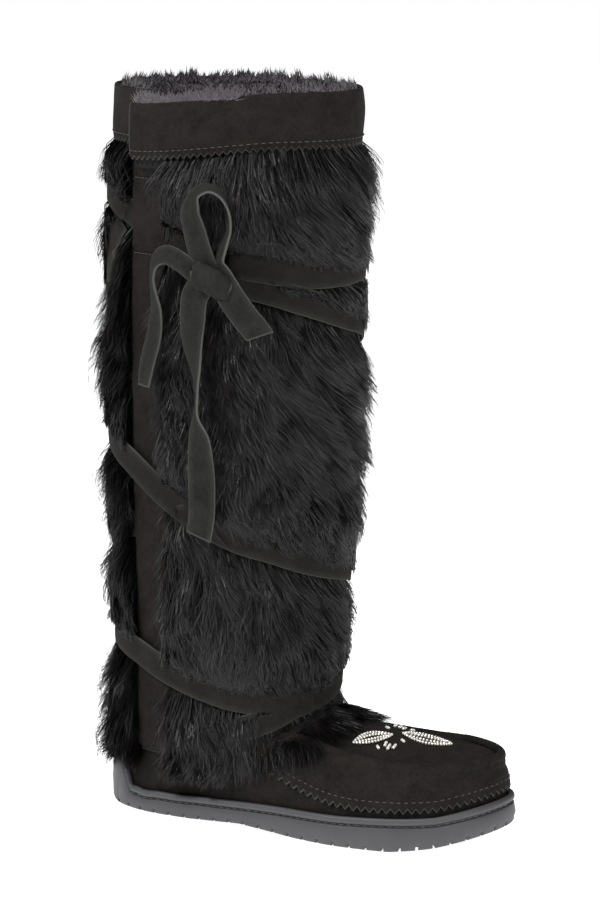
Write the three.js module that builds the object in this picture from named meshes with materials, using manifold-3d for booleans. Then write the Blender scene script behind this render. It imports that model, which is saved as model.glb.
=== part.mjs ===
// A right-footed mukluk: a suede moccasin foot in a rubber cup sole, and a tall leg of
// rabbit fur that laps on its outer side and is tied with suede straps.
// Millimetres. +X points to the toe, +Y to the inner side, +Z up. The origin is on the
// floor under the middle of the heel.
import * as THREE from "three";
import { mergeVertices } from "three/addons/utils/BufferGeometryUtils.js";
import Module from "manifold-3d";

const wasm = await Module();
wasm.setup();

// Driving sizes
const HEIGHT = 468; // floor to the top of the collar band, at the front
const GAP = 0.3; // air between pieces that meet
const SUEDE = 1.6;
const FOOT_WALL = 5; // suede and sheepskin pressed together in the foot
const HIDE = 1.8; // hide of the leg below the ankle seam
const LEG_WALL = 9; // hide and sheepskin of the leg
const ANKLE = 122; // height of the seam between foot and leg
const BAND_DROP = 34; // height of the collar band
const STRAP_WIDTH = 17;
const STRAP_THICK = 1.6;
const STRAP_LIFT = 4; // hide to the inner face of a strap, with pressed fur between
const FUR_DEEP = 12; // length of the fur between the straps
const FUR_PRESSED = 7; // where a strap pulls it in
const FRINGE = 9; // how far the fur hanging over the foot stands off it

// The sole's edge from the toe tip round the inner side to the heel and back up the outer side
const SOLE_EDGE = [
  { at: "toe tip", x: 231, y: 13.5 },
  { at: "toe, inner", x: 221.5, y: 31.5 },
  { at: "big toe", x: 199, y: 44 },
  { at: "ball, inner", x: 150, y: 48 },
  { at: "arch", x: 90, y: 38.5 },
  { at: "heel front, inner", x: 35, y: 36.5 },
  { at: "heel, inner", x: -8, y: 36.5 },
  { at: "heel back, inner", x: -33, y: 23 },
  { at: "heel back", x: -42, y: 0 },
  { at: "heel back, outer", x: -33, y: -24 },
  { at: "heel, outer", x: -8, y: -38 },
  { at: "heel front, outer", x: 35, y: -42 },
  { at: "waist, outer", x: 90, y: -47.5 },
  { at: "ball, outer", x: 140, y: -54 },
  { at: "little toe", x: 193, y: -44.5 },
  { at: "toe, outer", x: 220.5, y: -18.5 },
];

// Heights along the sole: the tread's underside and the top of the lip
const TREAD = [
  { x: -42, under: 2.5 },
  { x: -30, under: 0 },
  { x: 28, under: 0 },
  { x: 66, under: 2.5 },
  { x: 104, under: 0 },
  { x: 172, under: 0 },
  { x: 200, under: 3.2 },
  { x: 231, under: 9 },
];
const LIP = [
  { x: -42, top: 40 },
  { x: -26, top: 39 },
  { x: -16, top: 15.5 },
  { x: 20, top: 15 },
  { x: 80, top: 18 },
  { x: 140, top: 20 },
  { x: 200, top: 23 },
  { x: 231, top: 28 },
];
const SOLE_THICK = 8; // tread to the floor of the cup
const LUG_PITCH = 11;
const NOTCH = { wide: 2, deep: 9, high: 3 };

// The foot: height of the ridge and of the middle of the foot, and how far in the ridge lies
// as a share of the way from the edge to the centre line
const FOOT = [
  { x: -40, ridge: 44, crown: 50, share: 0.3 },
  { x: 60, ridge: 60, crown: 76, share: 0.4 },
  { x: 100, ridge: 58, crown: 76, share: 0.38 },
  { x: 130, ridge: 54, crown: 67, share: 0.3 },
  { x: 165, ridge: 51, crown: 59, share: 0.2 },
  { x: 200, ridge: 50, crown: 53, share: 0.16 },
  { x: 231, ridge: 50, crown: 51, share: 0.14 },
];
const SPINE_BACK = 0;
const SPINE_FRONT = 186;
const SPINE_FRONT_Y = 3;
const INSOLE_THICK = 4;
const FOOT_INSET = 4.4; // the foot stands this far inside the sole's edge

// How far the pinked edge of the vamp stands above the lip
const VAMP_EDGE = [
  { x: 78, rise: 25 },
  { x: 100, rise: 15 },
  { x: 130, rise: 7 },
  { x: 160, rise: 4 },
  { x: 231, rise: 4 },
];

// The leg's hide: its back and front and its half width at each height
const LEG = [
  { z: 0, back: -36, front: 104, half: 35 },
  { z: 60, back: -36, front: 108, half: 42 },
  { z: 120, back: -34, front: 113, half: 48 },
  { z: 220, back: -36, front: 119, half: 54 },
  { z: 330, back: -36, front: 123, half: 57 },
  { z: 470, back: -33, front: 125, half: 58 },
];

// The lapped edge of the leg, as degrees round it from the front (-90 is the outer side)
const LAP = { back: -127, front: -106, bottom: 44 };

// Straps round the leg: degrees round it and height of the strap's middle. One turn is 360.
const LONG_TIE = [
  { turn: -72, z: 354 },
  { turn: -41, z: 341 },
  { turn: 20, z: 318 },
  { turn: 100, z: 285 },
  { turn: 180, z: 256 },
  { turn: 229, z: 236 },
  { turn: 256, z: 215 },
  { turn: 291, z: 190 },
  { turn: 346, z: 170 },
  { turn: 400, z: 158 },
  { turn: 480, z: 136 },
  { turn: 540, z: 122 },
  { turn: 594, z: 109 },
  { turn: 620, z: 97 },
  { turn: 655, z: 85 },
  { turn: 700, z: 86 },
];
const RETURN_TIE = [
  { turn: -68, z: 64 },
  { turn: -50, z: 72 },
  { turn: -35, z: 81 },
  { turn: 0, z: 92 },
  { turn: 60, z: 112 },
  { turn: 150, z: 158 },
  { turn: 210, z: 186 },
  { turn: 250, z: 196 },
  { turn: 280, z: 207 },
  { turn: 305, z: 213 },
  { turn: 350, z: 228 },
  { turn: 420, z: 262 },
  { turn: 500, z: 300 },
  { turn: 560, z: 345 },
  { turn: 585, z: 385 },
];
const TOP_TIE = [
  { turn: -74, z: 364 },
  { turn: -41, z: 358 },
  { turn: 0, z: 357 },
  { turn: 80, z: 364 },
  { turn: 150, z: 384 },
  { turn: 196, z: 404 },
  { turn: 236, z: 388 },
  { turn: 262, z: 376 },
  { turn: 276, z: 366 },
];

// Reads one column of a table at a place along it, on a smooth curve through its rows
function read(table, along, at, column) {
  const last = table.length - 1;
  const place = THREE.MathUtils.clamp(at, table[0][along], table[last][along]);
  let i = 0;
  while (i < last - 1 && table[i + 1][along] < place) i += 1;
  const slope = (k) => {
    const before = table[Math.max(k - 1, 0)];
    const after = table[Math.min(k + 1, last)];
    return (after[column] - before[column]) / (after[along] - before[along]);
  };
  const span = table[i + 1][along] - table[i][along];
  const t = (place - table[i][along]) / span;
  const rise = table[i + 1][column] - table[i][column];
  const start = slope(i) * span;
  const end = slope(i + 1) * span;
  const bend = t * t * (3 - 2 * t);
  const leave = t * (1 - t) * (1 - t);
  const arrive = t * t * (t - 1);
  return table[i][column] + rise * bend + start * leave + end * arrive;
}

function linear(table, along, at, column) {
  const last = table.length - 1;
  const place = THREE.MathUtils.clamp(at, table[0][along], table[last][along]);
  let i = 0;
  while (i < last - 1 && table[i + 1][along] < place) i += 1;
  const low = table[i];
  const high = table[i + 1];
  return THREE.MathUtils.mapLinear(place, low[along], high[along], low[column], high[column]);
}

// A closed mesh from rows of points. Rows that fold onto themselves at an end close it there.
function closedMesh(points, index) {
  const loose = new THREE.BufferGeometry();
  loose.setAttribute("position", new THREE.Float32BufferAttribute(points.flatMap((p) => p.toArray()), 3));
  loose.setIndex(index);
  const merged = mergeVertices(loose, 1e-4);
  const corners = merged.index.array;
  const kept = [];
  for (let i = 0; i < corners.length; i += 3) {
    const [a, b, c] = corners.slice(i, i + 3);
    if (a !== b && b !== c && c !== a) kept.push(a, b, c);
  }
  const place = merged.attributes.position;
  let volume = 0;
  for (let i = 0; i < kept.length; i += 3) {
    const [a, b, c] = [0, 1, 2].map((k) => new THREE.Vector3().fromBufferAttribute(place, kept[i + k]));
    volume += a.dot(b.cross(c));
  }
  merged.setIndex(volume < 0 ? kept.reverse() : kept);
  return merged;
}

// Rings joined in order into one skin; closed joins the last ring to the first, as in a wall
function rings(rows, closed = false) {
  const count = rows[0].length;
  const index = [];
  const bands = closed ? rows.length : rows.length - 1;
  for (let r = 0; r < bands; r += 1) {
    const here = r * count;
    const above = ((r + 1) % rows.length) * count;
    for (let c = 0; c < count; c += 1) {
      const d = (c + 1) % count;
      index.push(here + c, here + d, above + d, here + c, above + d, above + c);
    }
  }
  return closedMesh(rows.flat(), index);
}

// A ring shrunk to its own middle, which closes a column of rings at its end
function lid(ring) {
  const middle = new THREE.Vector3();
  ring.forEach((p) => middle.add(p));
  middle.divideScalar(ring.length);
  return ring.map(() => middle.clone());
}

function column(rows) {
  return rings([lid(rows[0]), ...rows, lid(rows[rows.length - 1])]);
}

function solid(geometry) {
  const bare = geometry.clone();
  bare.deleteAttribute("normal");
  bare.deleteAttribute("uv");
  const merged = mergeVertices(bare, 1e-4);
  const mesh = new wasm.Mesh({
    numProp: 3,
    vertProperties: Float32Array.from(merged.attributes.position.array),
    triVerts: Uint32Array.from(merged.index.array),
  });
  return new wasm.Manifold(mesh);
}

function geometryOf(body) {
  const mesh = body.getMesh();
  const geometry = new THREE.BufferGeometry();
  geometry.setAttribute("position", new THREE.Float32BufferAttribute(mesh.vertProperties, 3));
  geometry.setIndex(Array.from(mesh.triVerts));
  return geometry;
}

// A box between two corners, for trimming
function block(low, high) {
  const size = new THREE.Vector3(...high).sub(new THREE.Vector3(...low));
  const box = new THREE.BoxGeometry(size.x, size.y, size.z);
  box.translate(low[0] + size.x / 2, low[1] + size.y / 2, low[2] + size.z / 2);
  return solid(box);
}

// ---- The sole's edge, and the foot built up from it ----

const edgeCurve = new THREE.CatmullRomCurve3(
  SOLE_EDGE.map(({ x, y }) => new THREE.Vector3(x, y, 0)),
  true,
  "centripetal",
);
const STATIONS = 42;

function edgeAt(t, inset = 0) {
  const turn = ((t % 1) + 1) % 1;
  const tangent = edgeCurve.getTangent(turn);
  const outward = new THREE.Vector3(tangent.y, -tangent.x, 0).normalize();
  return edgeCurve.getPoint(turn).addScaledVector(outward, -inset);
}

// The centre line that a place on the edge looks in to
function spineAt(t) {
  const inner = edgeAt(t);
  const outer = edgeAt(1 - t);
  const middle = inner.add(outer).divideScalar(2);
  if (middle.x > SPINE_FRONT || middle.x < SPINE_BACK) {
    const x = THREE.MathUtils.clamp(middle.x, SPINE_BACK, SPINE_FRONT);
    const y = x === SPINE_FRONT ? SPINE_FRONT_Y : 0;
    return new THREE.Vector3(x, y, 0);
  }
  return middle;
}

const treadAt = (x) => read(TREAD, "x", x, "under");
const flatTreadAt = (x) => linear(TREAD, "x", x, "under");
const cupFloorAt = (x) => Math.max(treadAt(x), 0) + SOLE_THICK;
const lipAt = (x) => Math.min(linear(LIP, "x", x, "top"), read(LIP, "x", x, "top") + 2);

function everyStation(make) {
  return Array.from({ length: STATIONS }, (_, k) => make(k / STATIONS));
}

// A level plate's ring: inset from the edge, then a share of the way to the centre line
function plateRing(inset, share, heightAt) {
  return everyStation((t) => {
    const p = edgeAt(t, inset).lerp(spineAt(t), share);
    p.z = heightAt(p.x);
    return p;
  });
}

// The cup's side wall leans in above leanFrom, and is nowhere lower than least
const CUP = { leanFrom: 24, lean: 0.12, least: 2 };

// A ring round the side of the cup: inset from the edge, and below its lip
function lipRing(inset, below) {
  return everyStation((t) => {
    const p = edgeAt(t);
    const top = lipAt(p.x);
    const lean = Math.max(0, top - below - CUP.leanFrom) * CUP.lean;
    const q = edgeAt(t, inset + lean);
    q.z = Math.max(top - below, flatTreadAt(p.x) + CUP.least);
    return q;
  });
}

// The section of the cup's side, up to its rounded lip; the stitch groove lies under the lip
const LIP_SECTION = [
  { at: "side", inset: 0.8, below: 6 },
  { at: "groove, lower corner", inset: 2, below: 5 },
  { at: "groove, upper corner", inset: 2, below: 4.2 },
  { at: "under the lip", inset: 0.2, below: 3.6 },
  { at: "lip", inset: 0, below: 1.6 },
  { at: "top of the lip, outside", inset: 1.2, below: 0 },
  { at: "top of the lip, inside", inset: 3.2, below: 0.2 },
];

function outsole() {
  const under = (x) => Math.max(flatTreadAt(x), 0);
  const body = solid(
    rings([
      plateRing(0, 1, under),
      plateRing(2, 0.5, under),
      plateRing(2, 0, under),
      plateRing(0.8, 0, (x) => under(x) + 1.2),
      ...LIP_SECTION.map(({ inset, below }) => lipRing(inset, below)),
      plateRing(9, 0, (x) => lipAt(x) - 1),
      plateRing(0, 1, (x) => lipAt(x) - 1),
    ]),
  ).subtract(footForm(GAP, GAP)).subtract(legForm(-HIDE, 14 - GAP, 60));
  const notches = Math.round(edgeCurve.getLength() / LUG_PITCH);
  let cut = body;
  for (let k = 0; k < notches; k += 1) {
    const along = edgeCurve.getUtoTmapping(k / notches);
    const place = edgeAt(along, NOTCH.deep / 2 - 1);
    const tangent = edgeCurve.getTangent(along);
    const high = NOTCH.high + 2 + under(place.x);
    const box = new THREE.BoxGeometry(NOTCH.wide, NOTCH.deep + 2, high);
    box.rotateZ(Math.atan2(tangent.y, tangent.x));
    box.translate(place.x, place.y, high / 2 - 2);
    cut = cut.subtract(solid(box));
  }
  return cut;
}

function insole() {
  const inset = FOOT_INSET + FOOT_WALL + GAP;
  const low = (x) => cupFloorAt(x) + 4 * GAP;
  const high = (x) => low(x) + INSOLE_THICK;
  return solid(
    rings([
      plateRing(0, 1, low),
      plateRing(inset, 0.5, low),
      plateRing(inset, 0, low),
      plateRing(inset, 0, high),
      plateRing(inset, 0.5, high),
      plateRing(0, 1, high),
    ]),
  );
}

// The foot's skin. climb runs 0 to 1 up the side to the ridge, and 1 to 2 over to the middle.
function footPoint(t, climb) {
  const edge = edgeAt(t, FOOT_INSET);
  const spine = spineAt(t);
  const share = read(FOOT, "x", edge.x, "share");
  const wall = Math.min(climb, 1) * (Math.PI / 2);
  const over = Math.max(climb - 1, 0);
  const inward = share * (1 - Math.cos(wall)) + (1 - share) * over;
  const p = edge.clone().lerp(spine, inward);
  const base = cupFloorAt(edge.x) + GAP;
  const ridge = read(FOOT, "x", p.x, "ridge");
  const crown = read(FOOT, "x", p.x, "crown");
  p.z = climb <= 1
    ? base + (ridge - base) * Math.sin(wall) ** 0.92
    : ridge + (crown - ridge) * Math.sin((over * Math.PI) / 2);
  return p;
}

function footNormal(t, climb) {
  const step = 0.012;
  if (climb > 2 - 2 * step) return new THREE.Vector3(0, 0, 1);
  const low = Math.max(climb - step, 0);
  const up = footPoint(t, climb + step).sub(footPoint(t, low));
  const round = footPoint(t + step / 2, climb).sub(footPoint(t - step / 2, climb));
  return round.cross(up).normalize();
}

function footAt(t, climb, out) {
  return footPoint(t, climb).addScaledVector(footNormal(t, climb), out);
}

// The whole foot as a form, to cut walls and overlays from; sunk carries it below the floor of
// the cup
const CLIMB = [0, 0.22, 0.48, 0.76, 1, 1.2, 1.55, 2];
function footForm(out, sunk) {
  const rows = CLIMB.map((climb) => everyStation((t) => footAt(t, climb, out)));
  const foot = rows[0].map((p) => new THREE.Vector3(p.x, p.y, p.z - sunk));
  const under = everyStation((t) => {
    const p = spineAt(t);
    p.z = cupFloorAt(p.x) + GAP - sunk;
    return p;
  });
  return solid(rings(sunk ? [under, foot, ...rows] : [under, ...rows]));
}

// ---- The leg ----

function legPoint(degrees, z, out) {
  const back = read(LEG, "z", z, "back");
  const front = read(LEG, "z", z, "front");
  const half = read(LEG, "z", z, "half");
  const long = (front - back) / 2;
  const angle = THREE.MathUtils.degToRad(degrees);
  const outward = new THREE.Vector3(Math.cos(angle) / long, Math.sin(angle) / half, 0).normalize();
  const p = new THREE.Vector3((front + back) / 2 + long * Math.cos(angle), half * Math.sin(angle), z);
  return p.addScaledVector(outward, out);
}

function legRing(z, out, count) {
  return Array.from({ length: count }, (_, k) => legPoint((k * 360) / count, z, out));
}

function legForm(out, low, high) {
  const levels = LEG.map(({ z }) => z).filter((z) => z > low && z < high);
  const rows = [low, ...levels, high].map((z) => legRing(z, out, 36));
  return solid(column(rows));
}

// A band lying on the leg along a route, from one distance off the hide to another
function onLeg(route, width, inner, outer, across = 1) {
  const step = 0.5;
  const at = (turn, z, out) => legPoint(turn, z, out);
  const sections = route.map(({ turn, z }, i) => {
    const before = route[Math.max(i - 1, 0)];
    const after = route[Math.min(i + 1, route.length - 1)];
    const round = at(turn + step, z, 0).sub(at(turn - step, z, 0)).divideScalar(2 * step);
    const run = (after.turn - before.turn) * round.length();
    const climb = after.z - before.z;
    const length = Math.hypot(run, climb);
    const side = { turn: -climb / length / round.length(), z: run / length };
    const row = (out, way) =>
      Array.from({ length: across + 1 }, (_, k) => {
        const shift = way * width * (k / across - 0.5);
        return at(turn + side.turn * shift, z + side.z * shift, out);
      });
    return [...row(inner, 1), ...row(outer, -1)];
  });
  return column(sections);
}

// A strap's route, read from its table at even steps
function routeOf(table, degreesPerStep) {
  const first = table[0].turn;
  const last = table[table.length - 1].turn;
  const steps = Math.round((last - first) / degreesPerStep);
  return Array.from({ length: steps + 1 }, (_, k) => {
    const turn = first + ((last - first) * k) / steps;
    return { turn, z: read(table, "turn", turn, "z") };
  });
}
const TIES = [LONG_TIE, RETURN_TIE, TOP_TIE];
const TIE_STEP = 17; // degrees

// How far a place on the leg is from the nearest strap
function strapDistance(degrees, z) {
  let nearest = Infinity;
  TIES.forEach((table) => {
    for (let turn = degrees - 360; turn < 760; turn += 360) {
      if (turn < table[0].turn || turn > table[table.length - 1].turn) continue;
      nearest = Math.min(nearest, Math.abs(z - read(table, "turn", turn, "z")));
    }
  });
  return nearest;
}

function furDepth(degrees, z) {
  const swell = THREE.MathUtils.smoothstep(strapDistance(degrees, z), 6, 34);
  return THREE.MathUtils.lerp(FUR_PRESSED, FUR_DEEP, swell);
}

// The band hangs a little lower at its lapped edge, and rises to its full height round the leg
function lapDroop(turn) {
  return 9 * (1 - THREE.MathUtils.smoothstep(turn, LAP.back, LAP.back + 80));
}
const bandTop = (turn) => HEIGHT - lapDroop(turn);
const bandFoot = (turn) => bandTop(turn) - BAND_DROP;
// A direction round the leg, counted on from the lapped edge
const turnOf = (degrees) => LAP.back + THREE.MathUtils.euclideanModulo(degrees - LAP.back, 360);

function footUpper() {
  const hollow = footForm(-FOOT_WALL, 6).add(legForm(-HIDE - GAP - FOOT_WALL, 24, ANKLE + 5));
  return footForm(0, 0).add(legForm(-HIDE - GAP, 14, ANKLE)).subtract(hollow);
}

// The place on the side of the foot where the vamp's pinked edge runs
function vampStart(t) {
  const x = edgeAt(t).x;
  const height = lipAt(x) + read(VAMP_EDGE, "x", x, "rise");
  let climb = 0.02;
  while (climb < 0.9 && footPoint(t, climb).z < height) climb += 0.01;
  return climb;
}

const RIDGE = { proud: 4.6, wide: 0.1, end: 0.96 };
const VAMP_REACH = 14; // stations back from the toe tip, on each side

function vamp() {
  const sections = [];
  for (let k = -VAMP_REACH; k <= VAMP_REACH; k += 1) {
    const t = k / STATIONS;
    const start = vampStart(t);
    const climbs = [0, 0.35, 0.7, 1].map((share) =>
      THREE.MathUtils.lerp(start, RIDGE.end - RIDGE.wide, share),
    );
    const roll = [RIDGE.end - RIDGE.wide / 2, RIDGE.end];
    const outer = [
      ...climbs.map((climb) => footAt(t, climb, 2 * GAP + SUEDE)),
      footAt(t, roll[0], RIDGE.proud),
      footAt(t, roll[1], RIDGE.proud - 0.6),
    ];
    const inner = [...climbs, ...roll].map((climb) => footAt(t, climb, 2 * GAP));
    sections.push([...outer, ...inner.reverse()]);
  }
  return solid(thinStrip(sections)).subtract(legForm(GAP, 20, 200));
}

// A strip whose sections are thin and curved: its two ends are closed across their thickness
function thinStrip(sections) {
  const count = sections[0].length;
  const index = [];
  for (let s = 0; s < sections.length - 1; s += 1) {
    for (let c = 0; c < count; c += 1) {
      const d = (c + 1) % count;
      const here = s * count;
      const next = here + count;
      index.push(here + c, here + d, next + d, here + c, next + d, next + c);
    }
  }
  const last = (sections.length - 1) * count;
  for (let c = 0; c < count / 2 - 1; c += 1) {
    const d = count - 1 - c;
    index.push(c, d, d - 1, c, d - 1, c + 1);
    index.push(last + c, last + d - 1, last + d, last + c, last + c + 1, last + d - 1);
  }
  return closedMesh(sections.flat(), index);
}

function toePlug() {
  const climbs = [1.06, ...CLIMB.filter((climb) => climb > 1.06)];
  const over = climbs.map((climb) => everyStation((t) => footAt(t, climb, 4 * GAP + SUEDE)));
  const under = climbs.map((climb) => everyStation((t) => footAt(t, climb, 4 * GAP)));
  const whole = solid(rings([...under.reverse(), ...over]));
  return whole.subtract(block([-60, -80, 0], [92, 80, 150])).subtract(legForm(GAP, 20, 200));
}

const FUR_LOW = 30; // the fur's body is drawn from here, and then cut by the foot
const FUR_HIGH = 420;

function furShaft() {
  const count = 32;
  const steps = 14;
  const levels = Array.from({ length: steps + 1 }, (_, k) => THREE.MathUtils.lerp(FUR_LOW, FUR_HIGH, k / steps));
  const outside = levels.map((z) =>
    Array.from({ length: count }, (_, k) => {
      const degrees = (k * 360) / count;
      return legPoint(degrees, z, furDepth(degrees, z));
    }),
  );
  const brow = legRing(HEIGHT - BAND_DROP, FUR_PRESSED + 2, count);
  const tuck = legRing(HEIGHT - BAND_DROP, 0, count);
  const rim = Array.from({ length: count }, (_, k) => {
    const degrees = (k * 360) / count;
    return legPoint(degrees, bandTop(turnOf(degrees)) - 1.5, 0);
  });
  const leg = solid(column([...outside, brow, tuck, rim]));
  const inside = solid(column([
    legRing(ANKLE + GAP, -LEG_WALL, count),
    legRing(220, -LEG_WALL, count),
    legRing(330, -LEG_WALL, count),
    legRing(480, -LEG_WALL, count),
  ]));
  const fringe = footForm(FRINGE, 0).intersect(legForm(20, 26, 118));
  const foot = footForm(GAP, 6).add(legForm(-HIDE, 5, ANKLE + GAP));
  const overlays = footForm(RIDGE.proud + 4 * GAP, 0).subtract(block([-60, -80, 0], [50, 80, 150]));
  const heelCup = block([-60, -60, 0], [-11, 60, 41]);
  const bandRoom = solid(column(bandSections(0.4, 40, 2 * GAP)));
  return leg.add(fringe).subtract(inside).subtract(foot).subtract(overlays).subtract(heelCup)
    .subtract(bandRoom);
}

// The strip of leg where the placket lies, cut clear of fur
function lapRoute(low, high, steps) {
  const middle = (LAP.back + LAP.front) / 2;
  return Array.from({ length: steps + 1 }, (_, k) => ({ turn: middle, z: low + ((high - low) * k) / steps }));
}
const lapWidth = legPoint(LAP.back, 250, 0).distanceTo(legPoint(LAP.front, 250, 0));

// The collar band starts at the lapped edge, runs right round the leg and on under its own start
const BAND = { under: 26, steps: 38, crown: 0.6 };

function bandSections(inner, outer, spare) {
  const last = LAP.back + 360 + BAND.under;
  const sections = [];
  for (let k = 0; k <= BAND.steps; k += 1) {
    const turn = LAP.back - spare + ((last - LAP.back + spare) * k) / BAND.steps;
    const over = 1 - THREE.MathUtils.smoothstep(turn, LAP.back + 34, LAP.back + 78);
    const lift = over * (SUEDE + BAND.crown + 2 * GAP);
    const low = bandFoot(turn) - spare;
    const high = bandTop(turn) + spare * 20;
    sections.push([
      legPoint(turn, low, inner + (spare ? 0 : lift)),
      legPoint(turn, low, outer + lift),
      legPoint(turn, (low + high) / 2, outer + lift + BAND.crown),
      legPoint(turn, high, outer + lift),
      legPoint(turn, high, inner + (spare ? 0 : lift)),
    ]);
  }
  return sections;
}

function collarBand() {
  return solid(column(bandSections(GAP, GAP + SUEDE, 0)));
}

function legTies() {
  const outer = STRAP_LIFT + STRAP_THICK;
  return TIES.map((table) => solid(onLeg(routeOf(table, TIE_STEP), STRAP_WIDTH, STRAP_LIFT, outer)))
    .reduce((whole, tie) => whole.add(tie));
}

function tieChannels() {
  const width = STRAP_WIDTH + 3;
  const past = 0.2; // share of a step that a channel runs on past each end of its strap
  const beyond = (end, before) => ({
    turn: end.turn + (end.turn - before.turn) * past,
    z: end.z + (end.z - before.z) * past,
  });
  return TIES.map((table) => {
    const route = routeOf(table, TIE_STEP);
    const last = route.length - 1;
    const longer = [beyond(route[0], route[1]), ...route, beyond(route[last], route[last - 1])];
    return solid(onLeg(longer, width, STRAP_LIFT - GAP, 26));
  }).reduce((whole, channel) => whole.add(channel));
}

// ---- The bow: flat cords through a knot on the outer side of the leg ----

// A flat cord through hand-placed points: each row gives the place on the leg, the distance off
// the hide, and how the strap's face is turned about its own line
function flatCord(rows, width, thick) {
  const line = rows.map(({ turn, z, off }) => legPoint(turn, z, off));
  const sections = line.map((p, i) => {
    const before = line[Math.max(i - 1, 0)];
    const after = line[Math.min(i + 1, line.length - 1)];
    const along = after.clone().sub(before).normalize();
    const outward = legPoint(rows[i].turn, rows[i].z, 1).sub(legPoint(rows[i].turn, rows[i].z, 0));
    const face = outward.addScaledVector(along, -outward.dot(along)).normalize();
    face.applyAxisAngle(along, THREE.MathUtils.degToRad(rows[i].roll ?? 0));
    const side = new THREE.Vector3().crossVectors(along, face);
    const corner = (a, b) => p.clone().addScaledVector(side, a * width / 2).addScaledVector(face, b * thick / 2);
    return [corner(-1, -1), corner(1, -1), corner(1, 1), corner(-1, 1)];
  });
  return solid(column(sections));
}

const KNOT = { turn: -77, z: 357, off: 22, long: 30, high: 19, thick: 11 };
const LOOP = [
  { turn: -77, z: 371, off: 24, roll: 60 },
  { turn: -79, z: 381, off: 25, roll: 62 },
  { turn: -80, z: 392, off: 26, roll: 66 },
  { turn: -79, z: 402, off: 27, roll: 70 },
  { turn: -76, z: 409, off: 28, roll: 74 },
  { turn: -72, z: 410, off: 29, roll: 78 },
  { turn: -69, z: 404, off: 29, roll: 80 },
  { turn: -69, z: 394, off: 28, roll: 80 },
  { turn: -71, z: 383, off: 27, roll: 80 },
  { turn: -72, z: 373, off: 26, roll: 80 },
];
const LEFT_END = [
  { turn: -88, z: 364, off: 20, roll: 10 },
  { turn: -93, z: 370, off: 20, roll: 10 },
  { turn: -99, z: 371, off: 20, roll: 20 },
  { turn: -103, z: 364, off: 20, roll: 40 },
  { turn: -103, z: 350, off: 19, roll: 30 },
  { turn: -102, z: 335, off: 18, roll: 20 },
  { turn: -103, z: 318, off: 17, roll: 10 },
  { turn: -106, z: 300, off: 17, roll: 10 },
  { turn: -108, z: 286, off: 17, roll: 20 },
];
const SHORT_END = [
  { turn: -68, z: 343, off: 25 },
  { turn: -65, z: 337, off: 26 },
  { turn: -62, z: 331, off: 26 },
  { turn: -59, z: 325, off: 26 },
];
const LONG_END = [
  { turn: -84, z: 346, off: 20 },
  { turn: -85, z: 318, off: 20, roll: 12 },
  { turn: -84, z: 290, off: 23, roll: 48 },
  { turn: -83, z: 262, off: 21, roll: 44 },
  { turn: -82, z: 232, off: 17, roll: 8 },
  { turn: -83, z: 194, off: 19 },
];

function tieKnot() {
  const { turn, z, off, long, high, thick } = KNOT;
  const outline = new THREE.Shape();
  outline.absellipse(0, 0, long / 2, high / 2, 0, 2 * Math.PI);
  const knot = new THREE.ExtrudeGeometry(outline, {
    depth: thick - 6,
    bevelEnabled: true,
    bevelThickness: 3,
    bevelSize: 3,
    bevelOffset: -3,
    bevelSegments: 2,
    curveSegments: 10,
  });
  knot.translate(0, 0, 3 - thick / 2);
  knot.rotateX(Math.PI / 2);
  const middle = legPoint(turn, z, off);
  const outward = middle.clone().sub(legPoint(turn, z, off - 1));
  knot.rotateZ(Math.atan2(outward.y, outward.x) + Math.PI / 2);
  knot.translate(middle.x, middle.y, middle.z);
  return solid(knot);
}

// ---- Assembly ----

const finishes = {
  rubber: { color: 0x4a4a4c, roughness: 0.6 },
  suede: { color: 0x211d1b, roughness: 0.95 },
  strap: { color: 0x33302f, roughness: 0.9 },
  fur: { color: 0x121015, roughness: 0.85 },
  felt: { color: 0x4a4248, roughness: 1 },
};

const boot = new THREE.Group();

function addPiece(name, body, finish) {
  const material = new THREE.MeshStandardMaterial({ ...finishes[finish], metalness: 0 });
  const mesh = new THREE.Mesh(geometryOf(body), material);
  mesh.name = name;
  boot.add(mesh);
}

const channels = tieChannels();
const lapChannel = solid(onLeg(lapRoute(LAP.bottom - 1.5, 425, 17), lapWidth + 2 * GAP, 0, 40, 3));
const placketRoute = lapRoute(LAP.bottom, bandFoot(LAP.front) - 8, 16);

addPiece("outsole", outsole(), "rubber");
addPiece("insole", insole(), "felt");
addPiece("foot_upper", footUpper(), "suede");
addPiece("vamp", vamp(), "suede");
addPiece("toe_plug", toePlug(), "suede");
addPiece("fur_shaft", furShaft().subtract(channels).subtract(lapChannel), "fur");
addPiece("collar_band", collarBand(), "suede");
addPiece("placket", solid(onLeg(placketRoute, lapWidth, 2 * GAP, 2 * GAP + SUEDE, 3)), "suede");
addPiece("leg_ties", legTies(), "strap");
addPiece("tie_knot", tieKnot(), "strap");
addPiece("tie_loop", flatCord(LOOP, STRAP_WIDTH, STRAP_THICK), "strap");
addPiece("tie_end_left", flatCord(LEFT_END, STRAP_WIDTH - 5, STRAP_THICK), "strap");
addPiece("tie_end_short", flatCord(SHORT_END, STRAP_WIDTH, STRAP_THICK), "strap");
addPiece("tie_end_long", flatCord(LONG_END, STRAP_WIDTH, STRAP_THICK), "strap");

export default boot;
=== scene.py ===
import math

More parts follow.
